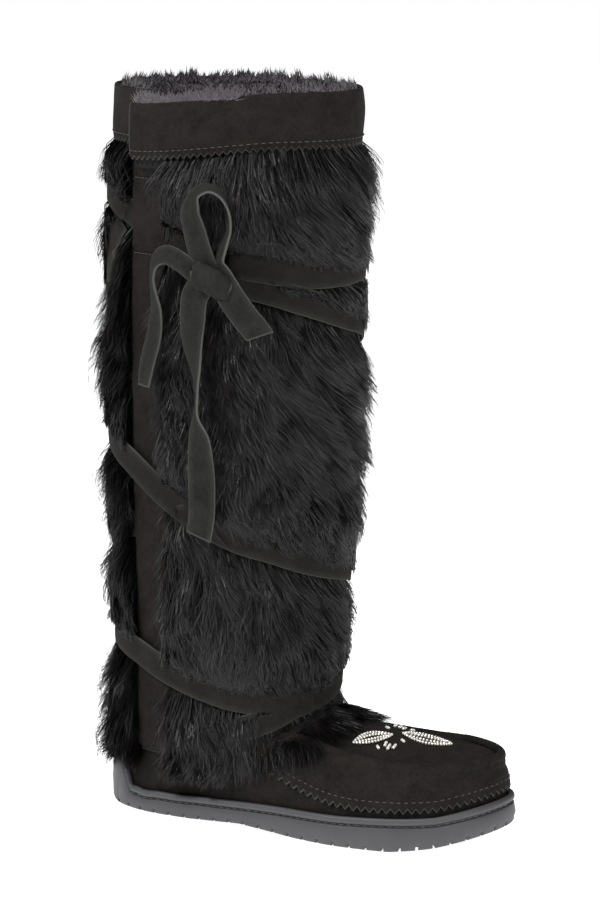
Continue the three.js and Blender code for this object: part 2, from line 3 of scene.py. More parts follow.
import bpy
import numpy as np
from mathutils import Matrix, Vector


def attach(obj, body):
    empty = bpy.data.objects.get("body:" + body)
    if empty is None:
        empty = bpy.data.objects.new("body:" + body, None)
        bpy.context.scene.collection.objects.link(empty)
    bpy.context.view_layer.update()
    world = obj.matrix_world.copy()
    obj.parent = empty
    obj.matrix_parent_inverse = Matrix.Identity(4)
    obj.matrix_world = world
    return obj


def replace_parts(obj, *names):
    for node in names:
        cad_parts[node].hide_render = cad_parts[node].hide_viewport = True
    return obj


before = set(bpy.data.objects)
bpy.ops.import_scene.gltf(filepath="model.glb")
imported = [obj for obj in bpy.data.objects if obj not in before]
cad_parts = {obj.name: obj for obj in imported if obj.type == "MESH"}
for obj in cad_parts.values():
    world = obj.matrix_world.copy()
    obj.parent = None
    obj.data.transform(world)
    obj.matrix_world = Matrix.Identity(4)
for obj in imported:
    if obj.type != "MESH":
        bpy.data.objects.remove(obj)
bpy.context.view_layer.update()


# ---- The camera ----
# It stands off the outer side, a little ahead of the boot and above the collar, and looks
# down at it through a long lens.
camera = bpy.data.objects.new("camera", bpy.data.cameras.new("camera"))
bpy.context.scene.collection.objects.link(camera)
bpy.context.scene.camera = camera
camera.location = (0.9234, -1.8593, 0.6449)
camera.rotation_euler = Vector((-0.4128, 0.8890, -0.1982)).to_track_quat("-Z", "Y").to_euler()
camera.data.lens = 128.8
camera.data.shift_x = 0.0449


# ---- Outsole ----
# One moulding of dark grey rubber: a cup with a rounded lip, a groove under the lip where it
# is sewn to the upper, a heel cup, and lugs parted by notches round the tread.

# Its edge seen from above, in mm: toe tip, inner side, heel, outer side
EDGE = np.array([
    (231, 13.5), (221.5, 31.5), (199, 44), (150, 48), (90, 38.5), (35, 36.5), (-8, 36.5), (-33, 23),
    (-42, 0), (-33, -24), (-8, -38), (35, -42), (90, -47.5), (140, -54), (193, -44.5), (220.5, -18.5),
])
# Heights along it: (x, underside) and (x, top of the lip)
TREAD = [(-42, 2.5), (-30, 0), (28, 0), (66, 2.5), (104, 0), (172, 0), (200, 3.2), (231, 9)]
LIP = [(-42, 40), (-26, 39), (-16, 15.5), (20, 15), (80, 18), (140, 20), (200, 23), (231, 28)]
SOLE_THICK = 8
# Where the centre line ends, inside the curves of the heel and of the toe
HEEL_MIDDLE, TOE_MIDDLE = (0, 0), (186, 3)
NOTCH_PITCH, NOTCH_WIDE, NOTCH_DEEP, NOTCH_HIGH = 11, 2, 8, 3
# The wall, the sewing groove and the rounded lip: (in from the edge, down from the lip's top)
SOLE_WALL = [
    (0.2, 8), (0.55, 6.4), (0.8, 6.0), (2.0, 5.8), (2.3, 5.3), (2.3, 4.8), (2.0, 4.3), (0.7, 4.1),
    (0.25, 3.7), (0.05, 3.0), (0, 2.2), (0.1, 1.4), (0.45, 0.7), (1.0, 0.2), (1.7, 0), (2.6, 0.1),
    (3.4, 0.5), (4.0, 1.2),
]


def unit(vectors):
    return vectors / np.linalg.norm(vectors, axis=-1, keepdims=True)


def run_along(points):
    """The distance along a line of points."""
    return np.concatenate([[0], np.cumsum(np.linalg.norm(np.diff(points, axis=0), axis=1))])


def at_run(at, run, line):
    """The places on a line at distances along it."""
    return np.stack([np.interp(at, run, line[:, i]) for i in range(line.shape[1])], -1)


def edge(t, inset=0):
    """Places on the edge, t running 0 to 1 from the toe tip round the inner side and back."""
    def on(t):
        place = (np.asarray(t, float) % 1) * len(EDGE)
        k, w = np.floor(place).astype(int), (place % 1)[..., None]
        p0, p1, p2, p3 = (EDGE[(k + d) % len(EDGE)] for d in (-1, 0, 1, 2))
        spans = ((p0, p1), (p1, p2), (p2, p3))
        d0, d1, d2 = (np.sqrt(np.linalg.norm(b - a, axis=-1))[..., None] for a, b in spans)
        leave = ((p1 - p0) / d0 - (p2 - p0) / (d0 + d1) + (p2 - p1) / d1) * d1
        arrive = ((p2 - p1) / d1 - (p3 - p1) / (d1 + d2) + (p3 - p2) / d2) * d1
        square = 3 * (p2 - p1) - 2 * leave - arrive
        cube = 2 * (p1 - p2) + leave + arrive
        return p1 + leave * w + square * w**2 + cube * w**3
    along = unit(on(np.asarray(t) + 1e-4) - on(np.asarray(t) - 1e-4))
    outward = np.stack([along[..., 1], -along[..., 0]], -1)
    return on(t) - outward * np.asarray(inset)[..., None]


def spine(t):
    """The place on the centre line that each place on the edge looks in to."""
    middle = (edge(t) + edge(1 - np.asarray(t))) / 2
    middle[middle[..., 0] > TOE_MIDDLE[0]] = TOE_MIDDLE
    middle[middle[..., 0] < HEEL_MIDDLE[0]] = HEEL_MIDDLE
    return middle


def read(table, at, column=1):
    """One column of a table at a place along it, on a smooth curve through its rows."""
    table = np.array(table, float)
    along, value, last = table[:, 0], table[:, column], len(table) - 1
    k = np.arange(last + 1)
    before, after = np.maximum(k - 1, 0), np.minimum(k + 1, last)
    slope = (value[after] - value[before]) / (along[after] - along[before])
    place = np.clip(at, along[0], along[last])
    i = np.clip(np.searchsorted(along, place) - 1, 0, last - 1)
    span = along[i + 1] - along[i]
    t = (place - along[i]) / span
    ease = value[i] + (value[i + 1] - value[i]) * t * t * (3 - 2 * t)
    return ease + slope[i] * span * t * (1 - t) ** 2 + slope[i + 1] * span * t * t * (t - 1)


def tread_at(x):
    return np.maximum(np.interp(x, *zip(*TREAD)), 0)


def floor_at(x):
    return np.maximum(read(TREAD, x), 0) + SOLE_THICK


def lip_at(x):
    return np.minimum(np.interp(x, *zip(*LIP)), read(LIP, x) + 2)


def even(count, low=0.0, high=1.0):
    """Values of t that stand evenly along the edge."""
    t = np.linspace(low, high, 4001)
    run = run_along(edge(t))
    return np.interp(np.linspace(0, run[-1], count), run, t), run[-1]


def linear(code):
    """A colour from its sRGB hex code."""
    parts = [int(code[i:i + 2], 16) / 255 for i in (1, 3, 5)]
    return tuple(c / 12.92 if c <= 0.04045 else ((c + 0.055) / 1.055) ** 2.4 for c in parts) + (1,)


def finish(name, rough):
    """A new material; returns it with its tree and shader."""
    material = bpy.data.materials.new(name)
    material.use_nodes = True
    shader = material.node_tree.nodes["Principled BSDF"]
    shader.inputs["Roughness"].default_value = rough
    return material, material.node_tree, shader


def add(tree, kind, settings=None, **sockets):
    """Adds a node with its settings; sockets take a value or a link from another node."""
    node = tree.nodes.new("ShaderNode" + kind)
    for name, value in (settings or {}).items():
        setattr(node, name, value)
    for name, value in sockets.items():
        socket = node.inputs[int(name[1:])] if name[0] == "_" else node.inputs[name.replace("_", " ")]
        if isinstance(value, bpy.types.NodeSocket):
            tree.links.new(value, socket)
        else:
            socket.default_value = value
    return node.outputs


def blend(tree, share, low, high):
    """A colour between two, each a hex code or a link."""
    low, high = (linear(colour) if isinstance(colour, str) else colour for colour in (low, high))
    return add(tree, "Mix", {"data_type": "RGBA"}, Factor=share, _6=low, _7=high)[2]


def noise(tree, scale, detail, **more):
    """Noise laid over the object; scale is in waves to a metre."""
    place = add(tree, "TexCoord")["Object"]
    return add(tree, "TexNoise", Vector=place, Scale=scale, Detail=detail, **more)["Fac"]


def held(tree, name):
    """A number held at each point of the mesh."""
    return add(tree, "Attribute", {"attribute_name": name})["Fac"]


def put(tree, shader, value, socket="Base Color"):
    tree.links.new(value, shader.inputs[socket])


def raised(tree, shader, height, strength, far):
    """Lets noise raise the surface, by up to far in metres."""
    put(tree, shader, add(tree, "Bump", Height=height, Strength=strength, Distance=far)[0], "Normal")


def grid(points, around=False, across=False):
    """Faces of a sheet of points [row, column]; around joins its last row to its first."""
    rows, columns = points.shape[:2]
    r = np.arange(rows if around else rows - 1)[:, None]
    c = np.arange(columns if across else columns - 1)[None, :]
    below, right = (r + 1) % rows, (c + 1) % columns
    quads = np.stack([r * columns + c, r * columns + right, below * columns + right, below * columns + c], -1)
    return points.reshape(-1, 3), quads.reshape(-1, 4)


def joined(parts):
    """Several (points, faces) as one."""
    points, faces, count = [], [], 0
    for p, f in parts:
        points.append(p)
        faces.append(f + count)
        count += len(p)
    return np.concatenate(points), np.concatenate(faces)


def piece(name, points, faces, material, body="root", smooth=True, **values):
    """A mesh from points in mm that rides on the boot. Faces that fold to nothing are left out.
    values are numbers held at each point, for its material."""
    mesh = bpy.data.meshes.new(name)
    mesh.vertices.add(len(points))
    mesh.vertices.foreach_set("co", (points * 0.001).astype(np.float32).ravel())
    mesh.loops.add(faces.size)
    mesh.loops.foreach_set("vertex_index", faces.astype(np.int32).ravel())
    mesh.polygons.add(len(faces))
    mesh.polygons.foreach_set("loop_start", np.arange(0, faces.size, faces.shape[1], dtype=np.int32))
    mesh.polygons.foreach_set("use_smooth", np.full(len(faces), smooth))
    mesh.update(calc_edges=True)
    mesh.validate()
    for key, value in values.items():
        layer = mesh.attributes.new(key, "FLOAT", "POINT")
        layer.data.foreach_set("value", np.asarray(value, np.float32).ravel())
    mesh.materials.append(material)
    made = bpy.data.objects.new(name, mesh)
    bpy.context.scene.collection.objects.link(made)
    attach(made, body)
    return made


def rubber():
    material, tree, shader = finish("grey_rubber", 0.55)
    put(tree, shader, blend(tree, noise(tree, 60, 4), "#2E2E30", "#39393C"))
    worn = add(tree, "MapRange", Value=noise(tree, 900, 3), To_Min=0.45, To_Max=0.68)[0]
    put(tree, shader, worn, "Roughness")
    # moulded grain, about 0.8 mm across
    raised(tree, shader, noise(tree, 1250, 2), 0.25, 0.0002)
    return material


def outsole():
    fine, length = even(2001)
    pitch = length / round(length / NOTCH_PITCH)
    half = NOTCH_WIDE / 2
    notch = [-half, 0.06 - half, 0, half - 0.06, half]
    steps = np.concatenate([notch, np.linspace(half, pitch - half, 7)[1:-1]])
    run = (np.arange(0, length - 1, pitch)[:, None] + half + steps[None]).ravel()
    t = np.interp(run, np.linspace(0, length, len(fine)), fine)
    notched = np.tile(np.isin(np.arange(len(steps)), (1, 2, 3)), len(run) // len(steps))
    rim = edge(t)
    under, top = tread_at(rim[:, 0]), lip_at(rim[:, 0])
    lift = NOTCH_HIGH * notched

    def row(inset, z, share=0):
        place = edge(t, inset)
        place = place + (spine(t) - place) * share
        return np.column_stack([place, np.broadcast_to(z, len(t))])

    def wall(inset, below):
        lean = np.maximum(0, top - below - 24) * 0.12
        return row(inset + lean, np.maximum(top - below, under + 2))

    floor = floor_at(rim[:, 0])
    rows = [row(0, tread_at(spine(t)[:, 0]), 1), row(16, under, 0.3), row(9, under), row(8.6, under)]
    rows += [row(NOTCH_DEEP, under + lift), row(5, under + lift), row(2, under + lift)]
    bulge = np.clip((top - 16) / 8, 0, 1) * np.clip((40 - top) / 12, 0, 1)
    rows += [row(1.0, under + np.maximum(0.4, lift)), row(0.5, under + np.maximum(1.2, lift))]
    rows += [row(0.3, under + 3.3)]
    rows += [row(0.1 - 0.7 * bulge, (under + 3.3) * 0.6 + np.maximum(top - 8, under + 4) * 0.4)]
    rows += [wall(inset, below) for inset, below in SOLE_WALL]
    rows += [row(4.1, floor + 1.5), row(5, floor), row(20, floor, 0.2), row(0, floor, 1)]
    return t, piece("cupsole", *grid(np.array(rows), across=True), rubber())


def stitches(line, outward, pitch, long, thick, proud=0.25):
    """Stitches laid along a line: each is one short length of thread, bent down at its ends."""
    run = run_along(line)
    parts = []
    turn = np.arange(6) * math.pi / 3
    bend = np.linspace(-1, 1, 7)
    for k in range(int(run[-1] / pitch)):
        at = (k + 0.5) * pitch + bend / 2 * long
        place = at_run(at, run, line)
        up = unit(at_run(at[3], run, outward))
        side = np.cross(unit(place[-1] - place[0]), up)
        place = place + up * (proud - 1.4 * thick * bend**4)[:, None]
        wide = thick / 2 * np.sqrt(np.clip(1 - bend**6, 0.04, 1))
        ring = np.cos(turn)[None, :, None] * side + np.sin(turn)[None, :, None] * up
        parts.append(grid(place[:, None] + ring * wide[:, None, None], across=True))
    return joined(parts)


def thread(name, code, rough=0.6):
    material, tree, shader = finish(name, rough)
    # plies about 0.4 mm across
    dark = tuple(c * 0.55 for c in linear(code)[:3]) + (1,)
    put(tree, shader, blend(tree, noise(tree, 2500, 1), dark, code))
    return material


sole_edge, cupsole = outsole()
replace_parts(cupsole, "outsole")

# The thread that holds the upper lies in the groove
lip = lip_at(edge(sole_edge)[:, 0])
groove = np.column_stack([edge(sole_edge, 1.9 + np.maximum(0, lip - 29) * 0.12), lip - 5.1])
outward = np.column_stack([edge(sole_edge, -1) - edge(sole_edge, 0), np.zeros(len(lip))])
grey_thread = thread("grey_thread", "#4A4B4E")
sole_thread = piece("sole_thread", *stitches(groove, outward, 5.2, 4.2, 1.1), grey_thread)


# ---- Insole ----
# A sock of sheepskin on board, lying in the cup. Its pile is trodden flat.
SOCK_INSET, SOCK_LIFT = 9.7, 1.2
# Its section: (share of the way in to the centre line, mm up)
SOCK = [(1, 0), (0.6, 0), (0.1, 0), (0, 0), (0, 1.5), (0, 3.2), (0.04, 4), (0.3, 4), (0.6, 4), (1, 4)]


def shearling():
    """Plum grey pile, matted in curls about 3 mm across."""
    material, tree, shader = finish("plum_shearling", 0.95)
    curl = noise(tree, 330, 5, Roughness=0.7)
    put(tree, shader, blend(tree, curl, "#1E1A1F", "#5A5058"))
    raised(tree, shader, curl, 1.0, 0.0015)
    shader.inputs["Sheen Weight"].default_value = 0.4
    return material


plum_shearling = shearling()
rng = np.random.default_rng(7)


def insole():
    t = even(361)[0][:-1]
    rim = edge(t, SOCK_INSET)
    rows = []
    for share, high in SOCK:
        place = rim + (spine(t) - rim) * share
        rows.append(np.column_stack([place, floor_at(place[:, 0]) + SOCK_LIFT + high]))
    rows = np.array(rows)
    rows[6:, :, 2] += rng.normal(0, 0.25, rows[6:, :, 2].shape) - 0.3
    return piece("sheepskin_sock", *grid(rows, across=True), plum_shearling)


sock = insole()
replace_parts(sock, "insole")


# ---- Foot upper ----
# A moccasin of black suede lined with sheepskin, drawn up from the cup to a ridge round the
# top of the foot. It is open where the leg goes in.

# (x, height of the ridge, height of the middle, how far in the ridge lies)
FOOT = [
    (-40, 44, 50, 0.3), (60, 60, 76, 0.4), (100, 58, 76, 0.38), (130, 54, 67, 0.3),
    (165, 51, 59, 0.2), (200, 50, 53, 0.16), (231, 50, 51, 0.14),
]
FOOT_INSET = 4.4
FOOT_WALL = 5


def spread(*values):
    """Numbers and arrays as arrays of one shape."""
    return np.broadcast_arrays(*(np.asarray(value, float) for value in values))


def foot(t, climb, out=0.0):
    """Places on the foot: climb runs 0 to 1 up the side to the ridge and 1 to 2 to the middle."""
    t, climb, out = spread(t, climb, out)

    def skin(t, climb):
        rim = edge(t, FOOT_INSET)
        wall, over = np.minimum(climb, 1) * math.pi / 2, np.maximum(climb - 1, 0)
        share = read(FOOT, rim[..., 0], 3)
        inward = share * (1 - np.cos(wall)) + (1 - share) * over
        place = rim + (spine(t) - rim) * inward[..., None]
        base = floor_at(rim[..., 0]) + 0.3
        ridge, crown = read(FOOT, place[..., 0], 1), read(FOOT, place[..., 0], 2)
        side = base + (ridge - base) * np.sin(wall) ** 0.92
        z = np.where(climb <= 1, side, ridge + (crown - ridge) * np.sin(over * math.pi / 2))
        return np.concatenate([place, z[..., None]], -1)

    up = skin(t, np.minimum(climb + 0.012, 2)) - skin(t, np.maximum(climb - 0.012, 0))
    normal = np.cross(skin(t + 0.006, climb) - skin(t - 0.006, climb), up)
    flat = climb > 1.97
    normal[flat] = (0, 0, 1)
    normal /= np.maximum(np.linalg.norm(normal, axis=-1), 1e-9)[..., None]
    return skin(t, climb) + normal * out[..., None]


# The leg's hide: (height, back, front, half width)
LEG = [
    (0, -36, 104, 35), (60, -36, 108, 42), (120, -34, 113, 48),
    (220, -36, 119, 54), (330, -36, 123, 57), (470, -33, 125, 58),
]


def leg(turn, z, out=0.0):
    """Places on the leg: turn in degrees from the front, counted round by the inner side."""
    turn, z, out = spread(turn, z, out)
    back, front, half = (read(LEG, z, k) for k in (1, 2, 3))
    long, angle = (front - back) / 2, np.radians(turn)
    outward = unit(np.stack([np.cos(angle) / long, np.sin(angle) / half], -1))
    place = np.stack([(front + back) / 2 + long * np.cos(angle), half * np.sin(angle)], -1)
    return np.concatenate([place + outward * out[..., None], z[..., None]], -1)


def off_leg(turn, z):
    """The way straight out of the hide, 1 mm long."""
    return leg(turn, z, 1) - leg(turn, z)


def inside_leg(points, out):
    """Whether points stand inside the leg's hide, moved out or in."""
    back, front, half = (read(LEG, points[..., 2], k) for k in (1, 2, 3))
    long = (front - back) / 2 + out
    return ((points[..., 0] - (front + back) / 2) / long) ** 2 + (points[..., 1] / (half + out)) ** 2 < 1


def suede(name, dark, pale, raw):
    """Suede: nap in clouds about 12 mm across, brushed marks of 2 mm and a fine 0.4 mm grain.
    raw is the colour of its cut edge, where the point value "cut" says so."""
    material, tree, shader = finish(name, 0.92)
    brushed = noise(tree, 480, 3)
    cloud = add(tree, "Math", {"operation": "MULTIPLY"}, _0=noise(tree, 80, 3, Distortion=0.6), _1=0.6)[0]
    mixed = add(tree, "Math", {"operation": "MULTIPLY_ADD"}, _0=brushed, _1=0.55, _2=cloud)[0]
    share = add(tree, "MapRange", Value=mixed, From_Min=0.35, From_Max=0.8)[0]
    tint = blend(tree, share, dark, pale)
    put(tree, shader, blend(tree, held(tree, "cut"), tint, raw))
    nap = add(tree, "Math", {"operation": "MULTIPLY_ADD"}, _0=brushed, _1=0.8, _2=noise(tree, 2500, 2))[0]
    raised(tree, shader, nap, 0.6, 0.0004)
    shader.inputs["Specular IOR Level"].default_value = 0.15
    shader.inputs["Sheen Weight"].default_value = 0.18
    shader.inputs["Sheen Roughness"].default_value = 0.4
    shader.inputs["Sheen Tint"].default_value = linear(pale)
    return material


black_suede = suede("black_suede", "#0A0807", "#1E1A18", "#454643")


def creased(place, size, high):
    """Soft uneven rise of a skin, from a few waves of about the given size."""
    made = np.zeros(place.shape[:-1])
    draw = np.random.default_rng(int(size * 10))
    for k in range(7):
        way = draw.normal(size=3)
        way *= 2 * math.pi / (size * draw.uniform(0.7, 1.6)) / np.linalg.norm(way)
        made += np.sin(place @ way + draw.uniform(0, 6.28))
    return made * high / 3


def foot_upper():
    t = even(401)[0][:-1]
    climb = np.concatenate([np.linspace(0, 1, 30), np.linspace(1, 2, 25)[1:]])
    T, C = np.meshgrid(t, climb)
    outer = foot(T, C)
    outer = foot(T, C, creased(outer, 26, 0.35))
    inner = foot(T[::2, ::3], C[::2, ::3], -FOOT_WALL)
    parts = []
    for skin in (outer, inner):
        points, faces = grid(skin, across=True)
        middle = points[faces].mean(axis=1)
        parts.append((points, faces[~inside_leg(middle, -6)]))
    # the wall goes on up inside the leg to the ankle seam
    turns, levels = np.arange(0, 360, 4.0), np.linspace(20, 122, 24)
    A, Z = np.meshgrid(turns, levels)
    parts.append(grid(leg(A, Z, -2.1), across=True))
    points, faces = joined(parts)
    keep = np.ones(len(faces), bool)
    first = len(parts[0][1]) + len(parts[1][1])
    middle = points[faces[first:]].mean(axis=1)
    keep[first:] = middle[:, 2] > top_of_foot(middle) - 3
    return piece("suede_foot", points, faces[keep], black_suede)


PLAN_SIZE, PLAN_CORNER = (280, 120), (45, 60)


def foot_plan():
    """Height of the foot's surface over the ground, on a 1 mm plan."""
    T, C = np.meshgrid(even(1601)[0], np.linspace(0.3, 2, 220))
    place = foot(T, C).reshape(-1, 3)
    plan = np.full(PLAN_SIZE, -50.0)
    cell = np.round(place[:, :2] + PLAN_CORNER).astype(int)
    np.maximum.at(plan, (cell[:, 0], cell[:, 1]), place[:, 2])

    def near():
        return np.stack([np.roll(plan, way, (0, 1)) for way in ((1, 0), (-1, 0), (0, 1), (0, -1))])

    # holes between the points are filled from beside them, and then it is all evened out
    for _ in range(3):
        beside = near()
        hole = (plan < 0) & ((beside > 0).sum(0) >= 2)
        plan[hole] = beside.max(0)[hole]
    return np.where(plan > 0, (plan + np.maximum(near(), 0).mean(0)) / 2, plan)


plan = foot_plan()


def top_of_foot(points):
    """Height of the foot's surface over a point; below 0 beside the foot."""
    x, y = (np.clip(points[..., k] + PLAN_CORNER[k], 0, PLAN_SIZE[k] - 1.1) for k in (0, 1))
    i, j = x.astype(int), y.astype(int)
    u, v = x - i, y - j
    near, far = (plan[i, j + k] * (1 - u) + plan[i + 1, j + k] * u for k in (0, 1))
    return near * (1 - v) + far * v


shoe = foot_upper()
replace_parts(shoe, "foot_upper")


# ---- Vamp ----
# A second layer of suede over the front of the foot. Its lower edge is pinked and sewn down,
# and its upper edge is gathered over a cord into the raised ridge round the toe.
VAMP_EDGE = [(78, 25), (100, 15), (130, 7), (160, 4), (231, 4)]
PINKING, PLEAT = 5.5, 7.3
RIDGE_TOP, RIDGE_PROUD = 0.96, 5.4
# The ridge's inner face: (further in past its top, mm down from it)
RIDGE_FACE = [(0.03, 0.1), (0.055, 0.6), (0.07, 1.6), (0.078, 2.8), (0.08, 4.2)]


def smooth(value, low, high):
    share = np.clip((np.asarray(value, float) - low) / (high - low), 0, 1)
    return share * share * (3 - 2 * share)


def teeth(run, pitch):
    """A pinked edge: 1 at its notches and 0 at its points, at distances along it."""
    return np.abs((run / pitch) % 1 - 0.5) * 2


def climb_to(t, height):
    """How far up the side of the foot a height is."""
    climb = np.linspace(0, 0.98, 120)
    made = np.empty(len(t))
    for k in range(len(t)):
        made[k] = np.interp(height[k], foot(t[k], climb)[:, 2], climb)
    return made


def vamp():
    t, length = even(801, -1 / 3, 1 / 3)
    run = np.linspace(0, length, len(t))
    x = edge(t)[:, 0]
    tooth = teeth(run, PINKING)
    low = climb_to(t, lip_at(x) + read(VAMP_EDGE, x) + 3.2 * tooth - 1.4)
    share = np.concatenate([[0, 0.012, 0.03], np.linspace(0.06, 1, 21)])
    climb = low[None] + (RIDGE_TOP - low[None]) * share[:, None]
    roll = np.clip((climb - 0.8) / (RIDGE_TOP - 0.8), 0, 1)
    lift = 2.2 + (RIDGE_PROUD - 2.2) * np.sin(roll * math.pi * 0.5) ** 1.2
    lift = lift - 1.1 * np.exp(-(((climb - 0.64) / 0.1) ** 2)) * smooth(foot(t, 1.0)[:, 0], 110, 150)
    lift[:3] -= np.array([0.35, 0.1, 0])[:, None]
    # gathers draw in over the last of the rise
    pleat = np.sin(2 * math.pi * run / PLEAT + 1.5 * np.sin(run / 23))[None]
    pleat = pleat * np.clip((climb - 0.6) / 0.15, 0, 1) * np.clip((0.93 - climb) / 0.1, 0, 1)
    T = np.broadcast_to(t, climb.shape)
    lift = lift + pleat * 0.22 + creased(foot(T, climb), 30, 0.5) * np.clip(share[:, None] * 4, 0, 1)
    outer = foot(T, climb, lift)
    face = [foot(t, RIDGE_TOP + further, RIDGE_PROUD - down) for further, down in RIDGE_FACE]
    inner = foot(T, climb, 0.6)[::-1]
    rows = np.concatenate([outer, face, foot(t, RIDGE_TOP, 0.6)[None], inner[2::12], inner[-1:]])
    cut = np.zeros(rows.shape[:2])
    cut[0] = cut[-1] = 1
    cut[1] = 0.5
    points, faces = grid(rows, around=True)
    keep = ~inside_leg(points[faces].mean(axis=1), 0.3)
    made = piece("suede_vamp", points, faces[keep], black_suede, cut=cut)
    seam = climb_to(t, lip_at(x) + read(VAMP_EDGE, x) + 6.0)
    line, off = foot(t, seam, 2.3), foot(t, seam, 3.3)
    keep = ~inside_leg(line, 2)
    sewn = piece("vamp_stitches", *stitches(line[keep], (off - line)[keep], 4.6, 3.1, 0.55, 0.1), pale_thread)
    return made, sewn


pale_thread = thread("soft_grey_thread", "#393937")
for made in vamp():
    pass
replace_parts(bpy.data.objects["suede_vamp"], "vamp")


# ---- Toe plug ----
# The suede panel let in inside the ridge and carrying the beadwork.
def toe_plug():
    t = even(361)[0][:-1]
    climb = np.concatenate([[1.045, 1.05, 1.06], np.linspace(1.08, 2, 30)])
    T, C = np.meshgrid(t, climb)
    lift = np.full(T.shape, 2.8)
    lift -= 1.7 * np.exp(-(((C - 1.05) / 0.1) ** 2))
    lift[:3] -= np.array([0.9, 0.4, 0.1])[:, None]
    place = foot(T, C)
    lift[3:] += creased(place, 24, 0.3)[3:] * np.clip((C[3:] - 1.08) / 0.1, 0, 1)
    over, under = foot(T, C, lift), foot(T, C, 1.2)
    points, faces = grid(np.concatenate([under[::-1][::4], over]), across=True)
    middle = points[faces].mean(axis=1)
    keep = ~inside_leg(middle, 0.3) & (middle[:, 0] > 92)
    return piece("toe_panel", points, faces[keep], black_suede)


plug = toe_plug()
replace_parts(plug, "toe_plug")


# ---- Beadwork ----
# Glass seed beads and short glass tubes sewn to the toe panel: two plain pointed leaves of
# beads, with a ring of tubes between them. The pattern is a plain one.
def glass():
    material, tree, shader = finish("silver_lined_glass", 0.12)
    put(tree, shader, blend(tree, noise(tree, 700, 2), "#BDB8AC", "#FFFDF6"))
    shader.inputs["Coat Weight"].default_value = 0.6
    shader.inputs["Metallic"].default_value = 0.25
    return material


def on_panel(x, y, out):
    """The places and the upright of the toe panel at points given from above."""
    x, y = np.asarray(x, float), np.asarray(y, float)
    T, C = np.meshgrid(even(1201)[0][:-1], np.linspace(1.02, 2, 160))
    skin, above = foot(T, C, 2.8).reshape(-1, 3), foot(T, C, 3.8).reshape(-1, 3)
    near = [np.argmin((skin[:, 0] - a) ** 2 + (skin[:, 1] - b) ** 2) for a, b in zip(x, y)]
    up = above[near] - skin[near]
    place = np.column_stack([x, y, skin[near, 2]])
    return place + up * np.asarray(out, float).reshape(-1, 1), up


def bead(place, up, along, wide, long):
    """A rounded tube of glass lying along a line."""
    along = unit(along - up * (along @ up))
    side = np.cross(up, along)
    turn = np.arange(10) * math.pi / 5
    ring = np.cos(turn)[:, None] * side + np.sin(turn)[:, None] * up
    round_off = min(0.35 * wide, long / 2)
    half = long / 2
    shape = [(-half, 0.3), (-half, 0.62), (-half + round_off * 0.3, 0.88), (-half + round_off, 1)]
    shape += [(-a, w) for a, w in shape[::-1]]
    rows = np.array([place + along * a + ring * w * wide / 2 for a, w in shape])
    return grid(rows, across=True)


def leaf(start, end, half):
    """Places of seed beads round a pointed leaf, with two shorter rows inside it."""
    start, end = np.array(start, float), np.array(end, float)
    along = end - start
    long = np.linalg.norm(along)
    side = np.array([-along[1], along[0]]) / long
    made = []
    inside = half * 0.42
    for bow, low, high in ((half, 0, 1), (-half, 0, 1), (inside, 0.16, 0.86), (-inside, 0.16, 0.86)):
        share = np.linspace(low, high, 200)
        line = start + share[:, None] * along + (bow * np.sin(math.pi * share) ** 0.8)[:, None] * side
        run = run_along(line)
        count = int(run[-1] / SEED_PITCH)
        at = (np.arange(count + 1)) * run[-1] / count
        way = at_run(at + 0.5, run, line) - at_run(at - 0.5, run, line)
        made += [(s, w, SEED_WIDE, SEED_LONG) for s, w in zip(at_run(at, run, line), way)]
    return made


SEED_PITCH, SEED_WIDE, SEED_LONG = 1.95, 1.9, 1.5
BEADS = leaf((157, -10), (139, -28), 4.5) + leaf((162, -2), (191, 6), 8)
# (x, y, direction in degrees, width, length)
TUBES = [
    (152, 8, 100, 2, 5), (155, 9, 95, 2, 5.5), (158, 8.5, 90, 2, 5), (163, 10, 60, 2, 3.5),
    (151, -2, 150, 2, 3.5), (158, -22, 100, 2, 5), (161, -24, 95, 2, 6), (164, -22, 90, 2, 5),
    (155, -27, 130, 2, 3.5), (166, -13, 150, 2, 3.5),
]
for x, y, degrees, wide, long in TUBES:
    way = np.array([math.cos(math.radians(degrees)), math.sin(math.radians(degrees))])
    BEADS.append((np.array([x, y]), way, wide, long))

spots = np.array([b[0] for b in BEADS])
place, up = on_panel(spots[:, 0], spots[:, 1], [b[2] * 0.45 for b in BEADS])
parts = []
for spot, upright, (_, way, wide, long) in zip(place, up, BEADS):
    parts.append(bead(spot, upright, np.array([way[0], way[1], 0.0]), wide, long))
beads = piece("glass_beads", *joined(parts), glass())


# ---- Leg ----
# A tube of sheepskin, pile inside, that laps on the outer side; the fur is the face of the
# same skins. It goes down into the foot to the ankle seam.
HEIGHT, BAND_HIGH = 468, 34
LAP_BACK, LAP_FRONT, LAP_FOOT = -127, -106, 44
LEG_WALL = 9
MM_ROUND = 0.98  # mm of hide to a degree, on average


def turn_of(turn):
    """The same turn, counted on from the lap's back edge."""
    return LAP_BACK + (np.asarray(turn, float) - LAP_BACK) % 360


def half_turn(turn):
    """The same turn, between -180 and 180."""
    return (turn + 180) % 360 - 180


def band_top(turn):
    return HEIGHT - 9 * (1 - smooth(turn, LAP_BACK, LAP_BACK + 80))


def leg_lining():
    turns, levels = np.arange(0, 360, 3), np.linspace(60, HEIGHT - 5, 40)
    A, Z = np.meshgrid(turns, levels)
    Z = np.minimum(Z, band_top(turn_of(A)) - 5)
    lumps = rng.normal(0, 0.5, A.shape)
    inner = leg(A, Z, -LEG_WALL + lumps)
    outer = leg(A[0], Z[-1] + 2.5, -1.5)[None]
    rim = leg(A[0], Z[-1] + 3.5, -4.5)[None]
    return piece("leg_lining", *grid(np.concatenate([inner, rim, outer]), across=True), plum_shearling)


